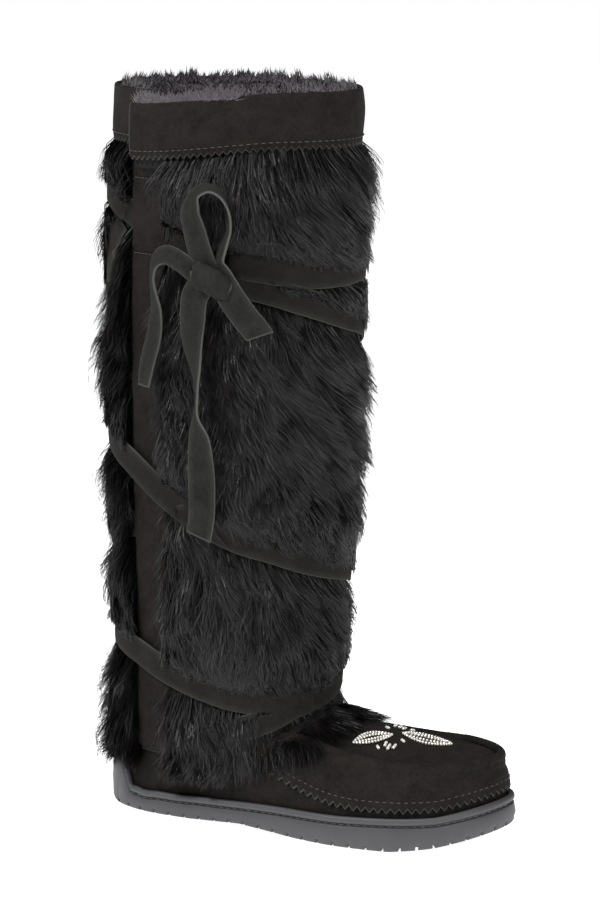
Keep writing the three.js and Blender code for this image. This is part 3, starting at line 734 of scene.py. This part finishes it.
def hide():
    material, tree, shader = finish("dark_hide", 0.95)
    fluff = noise(tree, 1500, 3)
    put(tree, shader, blend(tree, fluff, "#040303", "#0D0B0C"))
    raised(tree, shader, fluff, 1, 0.0006)
    return material


def leg_hide():
    turns, levels = np.arange(0, 360, 4.0), np.linspace(40, HEIGHT - 5, 60)
    A, Z = np.meshgrid(turns, levels)
    Z = np.minimum(Z, band_top(turn_of(A)) - 3)
    points, faces = grid(leg(A, Z, 0.2), across=True)
    middle = points[faces].mean(axis=1)
    return piece("leg_hide", points, faces[middle[:, 2] > top_of_foot(middle) - 4], hide())


lining, leg_skin = leg_lining(), leg_hide()
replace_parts(leg_skin, "fur_shaft")


# ---- Leg ties ----
# Straps of the same suede, cut raw on both edges and wound round the leg so that they cross
# and pull the fur in.
STRAP_WIDE, STRAP_THICK, STRAP_LIFT = 17, 1.6, 4
# (turn in degrees, height of its middle, how far the fur above hangs down over it)
LONG_TIE = [
    (-72, 354, 0), (-52, 346, 6), (-41, 341, 11), (20, 318, 12), (100, 285, 10), (180, 256, 8), (229, 236, 4),
    (256, 215, 0), (291, 190, 3), (310, 183, 10), (346, 170, 12), (400, 158, 9), (480, 136, 9), (540, 122, 8),
    (594, 109, 2), (614, 100, 7), (636, 90, 3), (655, 85, 3), (700, 86, 8),
]
RETURN_TIE = [
    (-68, 64, 17), (-58, 68, 14), (-50, 72, 3), (-35, 81, 9), (0, 92, 1), (60, 112, 8), (150, 158, 9),
    (205, 184, 12), (222, 189, 20), (235, 192, 22), (280, 207, 22), (305, 213, 22), (350, 228, 22),
    (390, 247, 22), (430, 266, 18), (450, 276, 10), (500, 300, 9), (560, 345, 8), (585, 385, 8),
]
TOP_TIE = [
    (-74, 364, 0), (-50, 359, 1), (-30, 357, 7), (0, 357, 10), (80, 364, 9), (150, 384, 8), (196, 404, 6),
    (236, 388, 0), (262, 376, 0), (276, 366, 0),
]
TIES = [LONG_TIE, RETURN_TIE, TOP_TIE]
MAP_HIGH = 470.0


def strap_map():
    """For each degree and mm of the leg: how far above (or, negative, below) the nearest strap's
    middle it is, and how far the fur hangs over that strap."""
    turn, z = np.meshgrid(np.arange(360.0) - 180, np.arange(MAP_HIGH), indexing="ij")
    best, hung = np.full(z.shape, 99.0), np.zeros(z.shape)
    for tie in TIES:
        low, high = tie[0][0], tie[-1][0]
        for lap in (0, 360, 720):
            at = turn + lap
            slope = (read(tie, at + 2) - read(tie, at - 2)) / 4 / MM_ROUND
            past = np.maximum(np.maximum(low - at, at - high), 0)
            gap = (z - read(tie, at)) / np.sqrt(1 + slope**2)
            gap = np.where(past > 0, np.where(gap < 0, -1, 1) * np.hypot(gap, past * 1.5), gap)
            nearer = np.abs(gap) < np.abs(best)
            best, hung = np.where(nearer, gap, best), np.where(nearer, read(tie, at, 2), hung)
    return best, hung


STRAP_MAP = strap_map()


def strap_side(turn, z):
    i = np.round(np.asarray(turn) + 180).astype(int) % 360
    j = np.clip(np.round(z), 0, MAP_HIGH - 1).astype(int)
    return STRAP_MAP[0][i, j], STRAP_MAP[1][i, j]


def band_on_leg(turn, z, wide, section):
    """A strip on the leg along a route. section gives points across it: (share of the width,
    mm off)."""
    degree = np.linalg.norm(leg(turn + 0.5, z) - leg(turn - 0.5, z), axis=-1)
    run, rise = np.gradient(turn) * degree, np.gradient(z)
    long = np.hypot(run, rise)
    back, up = rise / long / degree * wide, run / long * wide
    return np.stack([leg(turn - back * share, z + up * share, off) for share, off in section], 1)


# Across a strap: flat faces and rounded raw edges
SECTION = [
    (-0.5, 0.5), (-0.495, 0.15), (-0.46, 0), (-0.25, 0), (0, 0), (0.25, 0), (0.46, 0), (0.495, 0.15),
    (0.5, 0.5), (0.5, 1.1), (0.495, 1.45), (0.46, 1.6), (0.25, 1.65), (0, 1.6), (-0.25, 1.65),
    (-0.46, 1.6), (-0.495, 1.45), (-0.5, 1.1),
]
# and how far each of those points is on the cut edge
RAW = np.array([1, 0.8, 0.1, 0, 0, 0, 0.1, 0.8, 1, 1, 0.8, 0.15, 0, 0, 0, 0.15, 0.8, 1])
strap_suede = suede("strap_suede", "#100F0E", "#1D1C1A", "#42433D")


def ends_closed(rows):
    """A band's sections with its two ends drawn together."""
    first, last = (np.broadcast_to(rows[k].mean(axis=0), rows[:1].shape) for k in (0, -1))
    return np.concatenate([first, rows, last])


def leg_ties():
    parts, cut = [], []
    for k, tie in enumerate(TIES):
        turn = np.arange(tie[0][0], tie[-1][0] + 0.1, 2.5)
        z = read(tie, turn) + 0.5 * np.sin(turn / 9 + k)
        lift = STRAP_LIFT + 0.35 * np.sin(turn / 7.0 + 2 * k)
        rows = band_on_leg(turn, z, STRAP_WIDE, SECTION)
        outward = off_leg(turn, z)
        # the top strap and the one that comes up from the ankle go through under the placket
        at = half_turn(turn)
        tucked = smooth(at, LAP_BACK - 12, LAP_BACK) * (1 - smooth(at, LAP_FRONT, LAP_FRONT + 12))
        tucked *= 0 if k == 0 else k == 2 or turn > 180
        lift = lift * (1 - tucked)
        rows = ends_closed(rows + outward[:, None] * lift[:, None, None])
        parts.append(grid(rows, across=True))
        cut.append(np.broadcast_to(RAW, (len(rows), len(RAW))).ravel())
    points, faces = joined(parts)
    return piece("suede_straps", points, faces, strap_suede, cut=np.concatenate(cut))


straps = leg_ties()
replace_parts(straps, "leg_ties")


# ---- Placket ----
# A strip of suede over the lapped edge of the leg, sewn down both sides and pieced twice
# below the collar.
PLACKET_TOP, PLACKET_SEAMS = 419, (366.0, 413.0)


def placket():
    z = np.arange(LAP_FOOT, PLACKET_TOP, 2.0)
    middle = (LAP_BACK + LAP_FRONT) / 2
    turn = np.full(len(z), middle)
    wide = np.linalg.norm(leg(LAP_BACK, 250.0) - leg(LAP_FRONT, 250.0))
    shares = np.concatenate([[-0.5, -0.49], np.linspace(-0.47, 0.47, 13), [0.49, 0.5]])
    rows = []
    for out in (2.2, 0.6):
        sheet = band_on_leg(turn, z, wide, [(s, 0) for s in shares])
        up = band_on_leg(turn, z, wide, [(s, 1) for s in shares]) - sheet
        lift = np.full(sheet.shape[:2], out)
        if out > 1:
            lift += creased(sheet, 22, 0.35)
            lift[:, [0, -1]] -= 0.7
            # a ridge and a groove where the lower piece laps the upper
            lift += (0.9 * np.exp(-((z - 371) / 1.6) ** 2) - 0.9 * np.exp(-((z - 367.5) / 1.4) ** 2))[:, None]
        rows.append(sheet + up * lift[..., None])
    ring = np.concatenate([rows[0], rows[1][:, ::-1]], 1)
    cut = np.zeros(ring.shape[1])
    cut[[0, len(shares) - 1, len(shares), -1]] = 0.7
    ring = ends_closed(ring)
    cut = np.broadcast_to(cut, ring.shape[:2])
    made = piece("placket_strip", *grid(ring, across=True), black_suede, cut=cut)
    lines = []
    turns = np.linspace(LAP_BACK + 2, LAP_FRONT - 2, 20)
    for high in PLACKET_SEAMS:
        lines.append(stitches(leg(turns, high, 2.5), off_leg(turns, high), 3.4, 2.6, 0.5, 0.2))
    return made, piece("placket_stitches", *joined(lines), pale_thread)


for made in placket():
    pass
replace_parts(bpy.data.objects["placket_strip"], "placket")


# ---- Collar band ----
# A folded band of suede round the top of the leg, pinked along its lower edge and sewn on
# with one row of stitches. It laps over its own start on the outer side.
BAND_MIDDLE, BAND_PINKING = 450.0, 4.5


def collar_band():
    turn = np.linspace(LAP_BACK, LAP_BACK + 386, 901)
    over = 1 - smooth(turn, LAP_BACK + 34, LAP_BACK + 78)
    lift = over * 2.8
    top = band_top(turn)
    low = top - BAND_HIGH
    tooth = teeth(run_along(leg(turn, BAND_MIDDLE)), BAND_PINKING)
    pinked = low - 1.3 + 2.6 * tooth
    share = np.concatenate([[0, 0.012, 0.03], np.linspace(0.08, 0.93, 9), [0.96, 0.985, 1.0]])
    rows = []
    for s in share:
        z = pinked + (top - pinked) * s
        off = 1.9 + lift + 0.6 * math.sin(math.pi * min(s, 1)) - (0.4 if s == 0 else 0.1 if s < 0.02 else 0)
        off = off - {0.96: 0.05, 0.985: 0.35, 1.0: 1.1}.get(s, 0)
        rows.append(leg(turn, z, off))
    rows = np.array(rows)
    fold = [(top - 0.1, 0.2), (top - 0.8, -1.1), (top - 7, -1.6)]
    inner = [(top - 7, 0.1), ((top + low) / 2, 0.3), (pinked, 0.3)]
    rows = np.concatenate([rows, [leg(turn, z, lift + out) for z, out in fold + inner]])
    outer = rows[:len(share)]
    worn = creased(outer, 24, 0.35) + creased(outer, 60, 0.5)
    outward = off_leg(turn, BAND_MIDDLE)
    outer += outward[None] * (worn * np.clip(share * 6, 0, 1)[:, None])[..., None]
    cut = np.zeros(rows.shape[:2])
    cut[0] = cut[-1] = 1
    cut[1] = 0.5
    cut[:, :2] = 0.6
    ring = ends_closed(np.swapaxes(rows, 0, 1))
    cut = np.concatenate([cut.T[:1], cut.T, 0.2 * cut.T[:1]])
    made = piece("collar", *grid(ring, across=True), black_suede, cut=cut)
    line = leg(turn, low + 4.4, 2.75 + lift)
    return made, piece("collar_stitches", *stitches(line, outward, 4.5, 3.0, 0.55, 0.1), pale_thread)


for made in collar_band():
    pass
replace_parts(bpy.data.objects["collar"], "collar_band")


# ---- Rabbit fur ----
# Hair on the outside of the leg: a dense dull underfur and longer glossy guard hairs, which
# lie downwards in tufts, puff out between the straps and hang over their upper edges. Each
# blade of the mesh stands for a lock of several hairs, so it is coarser than real hair.
FUR_DEEP, FUR_PRESSED = 12, 7
LEG_MIDDLE = (43, 0, 0)
SUNK = 16  # a strap with this much fur hanging over it is sunk out of sight


def fur():
    material, tree, shader = finish("black_rabbit_fur", 0.38)
    shade = held(tree, "shade")
    base = blend(tree, shade, "#010101", "#0E0B0A")
    # painted depth: each blade is the base colour at its root, painted shade deep in the coat, and goes paler
    # to #1B1819 at its end, a painted sheen on the tips
    put(tree, shader, blend(tree, held(tree, "tip"), base, "#1B1819"))
    put(tree, shader, add(tree, "MapRange", Value=shade, To_Min=0.58, To_Max=0.36)[0], "Roughness")
    shader.inputs["Specular IOR Level"].default_value = 0.3
    return material


def hashed(i, j, seed):
    """Numbers from 0 to 1 that belong to the cells of a grid."""
    value = np.sin(i * 127.1 + j * 311.7 + seed * 74.7) * 43758.5453
    return value - np.floor(value)


def tufts(around, z, pitch, seed):
    """For each root, the middle of the tuft it belongs to, and three numbers of that tuft."""
    i0, j0 = np.floor(around / pitch), np.floor(z / pitch)
    best = np.full(len(z), 1e9)
    made = np.zeros((len(z), 5))
    for di in (-1, 0, 1):
        for dj in (-1, 0, 1):
            i, j = i0 + di, j0 + dj
            x, y = (i + hashed(i, j, seed)) * pitch, (j + hashed(i, j, seed + 1)) * pitch
            far = (x - around) ** 2 + ((y - z) * 0.6) ** 2
            near = far < best
            best[near] = far[near]
            made[near] = np.column_stack([x, y, *(hashed(i, j, seed + k) for k in (2, 3, 4))])[near]
    return made


def lay(turn, z):
    """How far the hair leans round the leg as it falls: mm sideways for each mm down."""
    t = half_turn(turn)
    from_lap = np.minimum(np.abs(t - LAP_BACK), np.abs(t - LAP_FRONT))
    lean = 0.05 + 0.6 * smooth(t, -75, -20) * (1 - smooth(t, 0, 50))
    lean = lean + 0.3 * np.sin(turn / 31 + z / 47) * np.sin(z / 29 + 1)
    return lean * smooth(from_lap, 2, 16)


def blades(places, wide, seed):
    """Flat blades along lines of points [blade, step]; each narrows to its last point."""
    draw = np.random.default_rng(seed)
    count, steps = places.shape[:2]
    along = np.gradient(places, axis=1)
    along /= np.maximum(np.linalg.norm(along, axis=-1), 1e-6)[..., None]
    outward = places[:, 0] - LEG_MIDDLE
    outward[:, 2] = 0
    outward = unit(outward)
    across = np.cross(along, outward[:, None])
    across /= np.maximum(np.linalg.norm(across, axis=-1), 1e-6)[..., None]
    roll = draw.uniform(-0.6, 0.6, count)[:, None, None]
    across = across * np.cos(roll) + np.cross(along, across) * np.sin(roll)
    half = wide / 2 * draw.uniform(0.6, 1.3, count)[:, None] * np.linspace(1, 0.75, steps - 1)[None]
    left = places[:, :-1] - across[:, :-1] * half[..., None]
    right = places[:, :-1] + across[:, :-1] * half[..., None]
    points = np.concatenate([left, right, places[:, -1:]], 1)
    one = []
    for k in range(steps - 2):
        one += [[k, k + steps - 1, k + steps], [k, k + steps, k + 1]]
    one.append([steps - 2, 2 * steps - 3, 2 * steps - 2])
    size = points.shape[1]
    faces = (np.array(one)[None] + np.arange(count)[:, None, None] * size).reshape(-1, 3)
    lock = tufts(places[:, 0, 0] + places[:, 0, 1] * 0.7, places[:, 0, 2], 7, 2)[:, 2]
    shade = np.repeat(draw.uniform(0, 1, count) * 0.35 + lock * 0.65, size)
    # tip runs from 0 at the root to 1 at the end of each blade; the fur's colour follows it, as painted shade
    # at the roots and a painted sheen toward the ends
    down = np.linspace(0, 0.75, steps - 1)
    tip = np.tile(np.concatenate([down, down, [1]]) ** 2, count)
    return points.reshape(-1, 3), faces, shade, tip


def strands(turn, z, long, deep, steps, seed):
    """The lines that hairs follow from their roots."""
    draw = np.random.default_rng(seed)
    count = len(z)
    tuft = tufts(turn * MM_ROUND, z, 8.5, 5)
    long = long * (0.75 + 0.45 * tuft[:, 2]) * draw.uniform(0.7, 1.15, count)
    lean = lay(turn, z) + (tuft[:, 3] - 0.5) * 0.55 + draw.normal(0, 0.1, count)
    gather = 0.2 + 0.4 * tuft[:, 4]
    # the pelt falls in broad overlapping tiers, fullest just above the lower edge of each
    tier = z / 43 + 0.7 * np.sin(turn / 27) + 0.45 * np.sin(turn / 12 + 2) + 0.25 * (tuft[:, 2] - 0.5)
    full = (0.5 + 0.75 * (1 - tier % 1) ** 0.8) * (1 + 0.25 * (np.abs((turn % 360) - 207) < 26))
    puff = deep * full * (0.7 + 0.5 * tuft[:, 4]) * draw.uniform(0.5, 1.1, count)
    # a hair that meets a strap hangs over its edge, or is caught under it
    to_strap, cover = np.full(count, 99.0), np.zeros(count)
    for drop in np.arange(0, 36, 1.0):
        beside, hung = strap_side(turn + drop * lean / MM_ROUND, z - drop)
        meets = (to_strap > 98) & (beside < 8.5) & (beside > 3)
        to_strap[meets], cover[meets] = drop, hung[meets]
    hang = (to_strap < 98) & (draw.uniform(0, 1, count) < 0.85)
    big = tufts(turn * MM_ROUND, z * 0, 13, 8)
    reach = to_strap + cover * (0.15 + 1.5 * big[:, 2]) * draw.uniform(0.6, 1.1, count)
    long = np.where(hang, np.minimum(long, reach), long)
    # and below the leg it hangs only so far over the foot
    long = np.minimum(long, np.maximum(z - 26 - draw.uniform(-5, 9, count), 5))
    lines = []
    for k in range(steps):
        u = k / (steps - 1)
        drop = long * u * 0.96
        around = turn * MM_ROUND + drop * lean * (0.5 + 0.5 * u)
        around += (tuft[:, 0] - turn * MM_ROUND) * gather * u * u * 0.6
        at_turn, at_z = around / MM_ROUND, z - drop
        beside, hung = strap_side(at_turn, at_z)
        near = np.where(hung > SUNK, 30, np.abs(beside))
        swell = FUR_PRESSED + (FUR_DEEP - FUR_PRESSED) * smooth(near, 6, 30)
        off = 0.3 + puff * swell / FUR_DEEP * (1 - (1 - u) ** 1.8)
        pressed = np.minimum(off, 3.0 + 1.2 * np.maximum(0, near - 8.5))
        over = np.maximum(off, (6.5 + 1.2 * draw.uniform(0, 1, count)) * min(1, 2.2 * u))
        off = np.minimum(np.where(hang, over, pressed), 18)
        line = leg(at_turn, at_z, off)
        line[:, 2] = np.maximum(line[:, 2], top_of_foot(line) + 1.0 + 5 * u)
        lines.append(line)
    return np.stack(lines, 1)


def roots(count, low, high, start, end, seed):
    """Even random roots on the leg, off the placket and out from under the straps."""
    draw = np.random.default_rng(seed)
    turn, z = draw.uniform(start, end, count), draw.uniform(low, high, count)
    t = half_turn(turn)
    keep = (t < LAP_BACK - 0.5) | (t > LAP_FRONT + 0.5) | (z < LAP_FOOT)
    beside, hung = strap_side(turn, z)
    keep &= (np.abs(beside) > 5.5) | (hung > SUNK)
    keep &= z < band_top(turn_of(turn)) - BAND_HIGH + 1
    keep &= z > top_of_foot(leg(turn, z, 1.0)) - 2
    return turn[keep], z[keep]


def fringe(count, seed):
    """Hair of the leg's lower hem, which falls outwards over the foot."""
    draw = np.random.default_rng(seed)
    turn = draw.uniform(-104, 104, count)
    tuft = tufts(turn * MM_ROUND, turn * 0, 8.5, 9)
    at = leg(turn, 70.0, draw.uniform(-1, 12, count))
    outward = off_leg(turn, 70.0)
    swing = np.radians(draw.normal(0, 9, count) + (tuft[:, 3] - 0.5) * 40)
    outward = np.column_stack([
        outward[:, 0] * np.cos(swing) - outward[:, 1] * np.sin(swing),
        outward[:, 0] * np.sin(swing) + outward[:, 1] * np.cos(swing), np.zeros(count),
    ])
    front = smooth(np.abs(turn), 25, 60)
    long = (25 + 12 * front) * (0.75 + 0.5 * tuft[:, 2]) * draw.uniform(0.6, 1.1, count)
    puff = (7 + 2 * front) * (0.6 + 0.6 * tuft[:, 4]) * draw.uniform(0.4, 1.1, count)
    lines, steps = [], 12
    for k in range(steps + 1):
        high = top_of_foot(at)
        fall = np.clip((high - top_of_foot(at + outward * 2.0)) / 2.0, -0.3, 9)
        size = np.sqrt(1 + fall**2)
        off = 0.5 + puff * (1 - (1 - k / steps) ** 1.8)
        line = at + outward * (off * fall / size)[:, None]
        line[:, 2] = np.maximum(high, 12) + off / size
        lines.append(line)
        at = at + outward * (long / steps / size)[:, None]
    # each hair ends where it has fallen far enough
    lines = np.stack(lines, 1)
    low = 24 + 26 * smooth(np.abs(turn), 100, 20) + 7 * draw.uniform(-1, 1, count)
    last = np.cumprod(lines[..., 2] > low[:, None], axis=1).sum(1) - 1
    lines, last = lines[last > 3], last[last > 3]
    spots = last[:, None] * np.arange(4)[None] / 3
    whole, part = np.floor(spots).astype(int), (spots % 1)[..., None]
    row = np.arange(len(lines))[:, None]
    return lines[row, whole] * (1 - part) + lines[row, np.minimum(whole + 1, steps)] * part


rabbit_fur = fur()
thin = 1
# (name, from turn, to turn, how thick the hair stands)
SIDES = [
    ("outer", -106, -40, 1.0), ("toe_side", -40, 60, 0.74),
    ("inner", 60, 160, 0.4), ("heel_side", 160, 233, 0.66),
]
LEVELS = [("low", 30, 238), ("high", 238, 440)]
# Guard hairs and underfur: (hairs to a degree and mm, length, how far they puff out, steps,
# width, share of the shading, share of the painted shade at the root and painted sheen at the tip)
COATS = [(1, 27, 13, 4, 0.5, 1, 1), (0.8, 19, 8, 3, 0.8, 0.4, 0.3)]
HEM_HAIRS = 17000
for i, (side, start, end, thick) in enumerate(SIDES):
    for j, (level, low, high) in enumerate(LEVELS):
        seed = 11 + 10 * i + 3 * j
        area = (end - start) * (high - low)
        parts, shades, tips = [], [], []
        for k, (many, long, deep, steps, wide, shaded, painted_depth_share) in enumerate(COATS):
            rooted = roots(int(thin * thick * area * many), low, high, start, end, seed + k)
            points, faces, shade, tip = blades(strands(*rooted, long, deep, steps, seed + k), wide, seed)
            parts.append((points, faces))
            shades.append(shade * shaded)
            tips.append(tip * painted_depth_share)
        points, faces = joined(parts)
        shade, tip = np.concatenate(shades), np.concatenate(tips)
        hair = piece(f"fur_{side}_{level}", points, faces, rabbit_fur, smooth=False, shade=shade, tip=tip)
points, faces, shade, tip = blades(fringe(int(thin * HEM_HAIRS), 5), 0.45, 5)
hem = piece("fur_hem", points, faces, rabbit_fur, smooth=False, shade=shade, tip=tip)


# ---- Lining pile ----
# Sheepskin pile standing off the inside of the leg and up over the collar's fold.
PILE_TUFTS, CORNER_TUFTS = 15000, 1500


def pile():
    draw = np.random.default_rng(3)
    count = int(thin * PILE_TUFTS)
    turn = draw.uniform(0, 360, count)
    top = band_top(turn_of(turn))
    deep = 75 * draw.uniform(0, 1, count) ** 2.4
    z = top - 2 - deep
    tuft = tufts(turn * MM_ROUND, z, 5.5, 4)
    curl = draw.normal(0, 1, count) + 4 * (tuft[:, 3] - 0.5)
    curl_z = draw.normal(0, 1, count) + 3 * (tuft[:, 4] - 0.5)
    lift = np.clip(1 - deep / 11, 0, 1)
    start = -LEG_WALL - 0.5 + 8 * lift * draw.uniform(0, 1, count)
    high = (2 + 4.5 * lift * (0.5 + tuft[:, 2])) * draw.uniform(0.5, 1.1, count)
    lines = []
    for k in range(3):
        u = k / 2
        off = start - (5 - 4 * lift) * u * (0.5 + tuft[:, 4]) + 0.7 * np.sin(u * 5 + curl)
        lines.append(leg(turn + curl * u * 1.3, z + high * u + curl_z * u * 0.9, off))
    # and a thick edge of it stands up inside the drooping corner of the lap
    corner = -122 + 48 * draw.uniform(0, 1, int(thin * CORNER_TUFTS)) ** 1.4
    low = band_top(turn_of(corner)) - 3
    sway, rise = draw.normal(0, 1, (2, len(corner)))
    tall = 2.2 + 2.6 * tufts(corner, corner * 0, 3.5, 6)[:, 2] + 0.9 * rise
    standing = [leg(corner + (1 + 1.6 * sway) * k, low + tall * k, 2.9 + 0.7 * k) for k in range(3)]
    lines = np.concatenate([np.stack(lines, 1), np.stack(standing, 1)])
    points, faces = blades(lines, 1.25, 4)[:2]
    return piece("lining_pile", points, faces, plum_shearling, smooth=False)


wool = pile()


# ---- Bow ----
# The two upper straps end in a bow on the outer side: a knot, one standing loop, and three
# ends that hang with the slack of the suede.

# Rows down each strap: (turn, height, mm off the hide, degrees its face is turned)
LOOP_AND_SHORT_END = [
    (-78, 357, 22, -5), (-80, 365, 22, -10), (-82, 375, 22, -15), (-84, 386, 22, -18),
    (-86, 396, 22, -26), (-85, 405, 22, -44), (-82, 411, 23, -66), (-77, 412, 24, -86),
    (-73, 407, 25, -98), (-71, 398, 25, -104), (-71, 388, 25, -106), (-73, 378, 25, -112),
    (-75, 368, 24, -130), (-73, 357, 24, -160), (-70, 348, 26, -178), (-67, 341, 27, -180),
    (-64, 334, 27, -180), (-61, 328, 27, -180), (-59, 323, 26, -180),
]
LEFT_END = [
    (-80, 357, 20, 0), (-85, 361, 21, 5), (-90, 367, 22, 10), (-96, 370, 21, 20), (-101, 366, 20, 35),
    (-103, 357, 20, 45), (-103, 346, 19, 40), (-102, 333, 18, 25), (-103, 318, 17, 10), (-106, 300, 17, 10),
    (-108, 286, 17, 20),
]
LONG_END = [
    (-80, 356, 21, 0), (-84, 346, 21, 0), (-85, 332, 20, 5), (-85, 316, 21, 25), (-84, 300, 22, 50),
    (-83, 286, 23, 68), (-83, 272, 22, 62), (-82, 258, 20, 25), (-82, 242, 18, 5), (-82, 226, 17, -5),
    (-82, 208, 18, 0), (-83, 194, 19, 5),
]
bow_suede = suede("strap_suede_flesh_side", "#131312", "#222221", "#454744")


def through(rows, step):
    """A smooth line through rows, at even steps."""
    rows = np.array(rows, float)
    ends = np.concatenate([2 * rows[:1] - rows[1:2], rows, 2 * rows[-1:] - rows[-2:-1]])
    fine = []
    for k in range(len(rows) - 1):
        a, b, c, d = ends[k:k + 4]
        w = np.linspace(0, 1, 24, endpoint=False)[:, None]
        square, cube = 2 * a - 5 * b + 4 * c - d, 3 * b - a - 3 * c + d
        fine.append(0.5 * (2 * b + (c - a) * w + square * w**2 + cube * w**3))
    fine = np.concatenate(fine + [rows[-1:]])
    run = run_along(leg(fine[:, 0], fine[:, 1], fine[:, 2]))
    at = np.linspace(0, run[-1], int(run[-1] / step) + 1)
    return at_run(at, run, fine), run[-1]


def free_strap(name, rows, wide, slant):
    """One loose length of strap from the knot; slant is the mm by which its end is out of square."""
    fine, long = through(rows, 1.5)
    turn, z, off, roll = fine.T
    line, outward = leg(turn, z, off), off_leg(turn, z)
    along = unit(np.gradient(line, axis=0))
    face = unit(outward - along * (outward * along).sum(1)[:, None])
    turned = np.radians(roll)[:, None]
    face = face * np.cos(turned) + np.cross(along, face) * np.sin(turned)
    side = np.cross(along, face)
    # the strap cups a little, and its end is cut on a slant
    shares = np.array([s for s, _ in SECTION])
    offs = np.array([o for _, o in SECTION]) - STRAP_THICK / 2
    cup = 0.9 * np.sin(np.arange(len(line)) / 9.0)[:, None] * (shares**2 * 4)[None]
    near_end = np.clip((np.arange(len(line)) - len(line) + 8) / 8, 0, 1)[:, None]
    ring = line[:, None] + side[:, None] * (shares * wide)[None, :, None]
    ring = ring + face[:, None] * (offs[None] + cup)[..., None]
    ring = ring + along[:, None] * (near_end * shares[None] * slant)[..., None]
    ring = ends_closed(ring)
    cut = np.broadcast_to(RAW, (len(ring), len(RAW))).copy()
    cut[-2:] = 0.8
    made = piece(name, *grid(ring, across=True), bow_suede, cut=cut)
    return made


loop = free_strap("bow_loop", LOOP_AND_SHORT_END, STRAP_WIDE, 5)
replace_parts(loop, "tie_loop", "tie_end_short")
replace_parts(free_strap("bow_left_end", LEFT_END, STRAP_WIDE - 5, 3), "tie_end_left")
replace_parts(free_strap("bow_long_end", LONG_END, STRAP_WIDE, -4), "tie_end_long")


def knot():
    """The strap drawn once round the others: a fat wrap, flat in front, with the folds of
    pulled suede at both sides."""
    u, v = np.linspace(-1, 1, 61), np.linspace(0, 2 * math.pi, 73)[:-1]
    U, V = np.meshgrid(u, v, indexing="ij")
    full = np.clip(1 - np.abs(U) ** 5, 0, 1) ** 0.45
    waist = 1 + 0.1 * U**2
    fold = 1 + 0.035 * np.sin(7 * U + 1.5 * np.cos(V)) * (0.4 + np.abs(U))
    fold = fold + 0.03 * np.sin(13 * U - 2 * V)
    square = (np.abs(np.cos(V)) ** 3 + np.abs(np.sin(V)) ** 3) ** (-1 / 3)
    x = U * 12.5 + 1.5 * np.sin(V)
    y = 6.5 * full * fold * square * np.cos(V)
    z = 9 * full * fold * waist * square * np.sin(V) - 0.42 * x
    middle = leg(-77.0, 356.0, 24.0)
    outward = leg(-77.0, 356.0, 25.0) - middle
    along = np.cross([0, 0, 1.0], outward)
    points = middle + x[..., None] * along + y[..., None] * outward + z[..., None] * np.array([0, 0, 1.0])
    cut = np.clip((np.abs(U) - 0.93) / 0.05, 0, 1)
    return piece("bow_knot", *grid(points, across=True), bow_suede, cut=cut)


bow_knot = knot()
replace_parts(bow_knot, "tie_knot")


# ---- Floor and light ----
# A pale floor that fades into a white room, with large soft lamps.
def floor():
    mesh = bpy.data.meshes.new("floor")
    far, down = 25.0, -0.0005
    corners = [(-far, -far, down), (far, -far, down), (far, far, down), (-far, far, down)]
    mesh.from_pydata(corners, [], [(0, 1, 2, 3)])
    material, tree, shader = finish("pale_floor", 0.9)
    put(tree, shader, blend(tree, noise(tree, 3, 2), "#F4F4F4", "#FAFAFA"))
    shader.inputs["Emission Color"].default_value = linear("#FFFFFF")
    shader.inputs["Emission Strength"].default_value = 0.93
    mesh.materials.append(material)
    made = bpy.data.objects.new("floor", mesh)
    bpy.context.scene.collection.objects.link(made)


floor()
world = bpy.data.worlds.new("white_room")
bpy.context.scene.world = world
bpy.context.scene.view_settings.view_transform = "Standard"
world.use_nodes = True
world.node_tree.nodes["Background"].inputs["Color"].default_value = linear("#FFFFFF")
world.node_tree.nodes["Background"].inputs["Strength"].default_value = 0.06

AIM = (0.06, 0, 0.22)
# (name, place, size, watts)
LAMPS = [
    ("key", (-0.8, -1.5, 2.0), 0.5, 54),
    ("side", (1.9, -1.0, 1.3), 0.6, 28),
    ("top", (0.1, -0.3, 2.4), 0.6, 30),
]
for name, place, size, watts in LAMPS:
    lamp = bpy.data.objects.new(name, bpy.data.lights.new(name, "AREA"))
    lamp.data.size, lamp.data.energy = size, watts
    lamp.location = place
    lamp.rotation_euler = (Vector(AIM) - Vector(place)).to_track_quat("-Z", "Y").to_euler()
    bpy.context.scene.collection.objects.link(lamp)
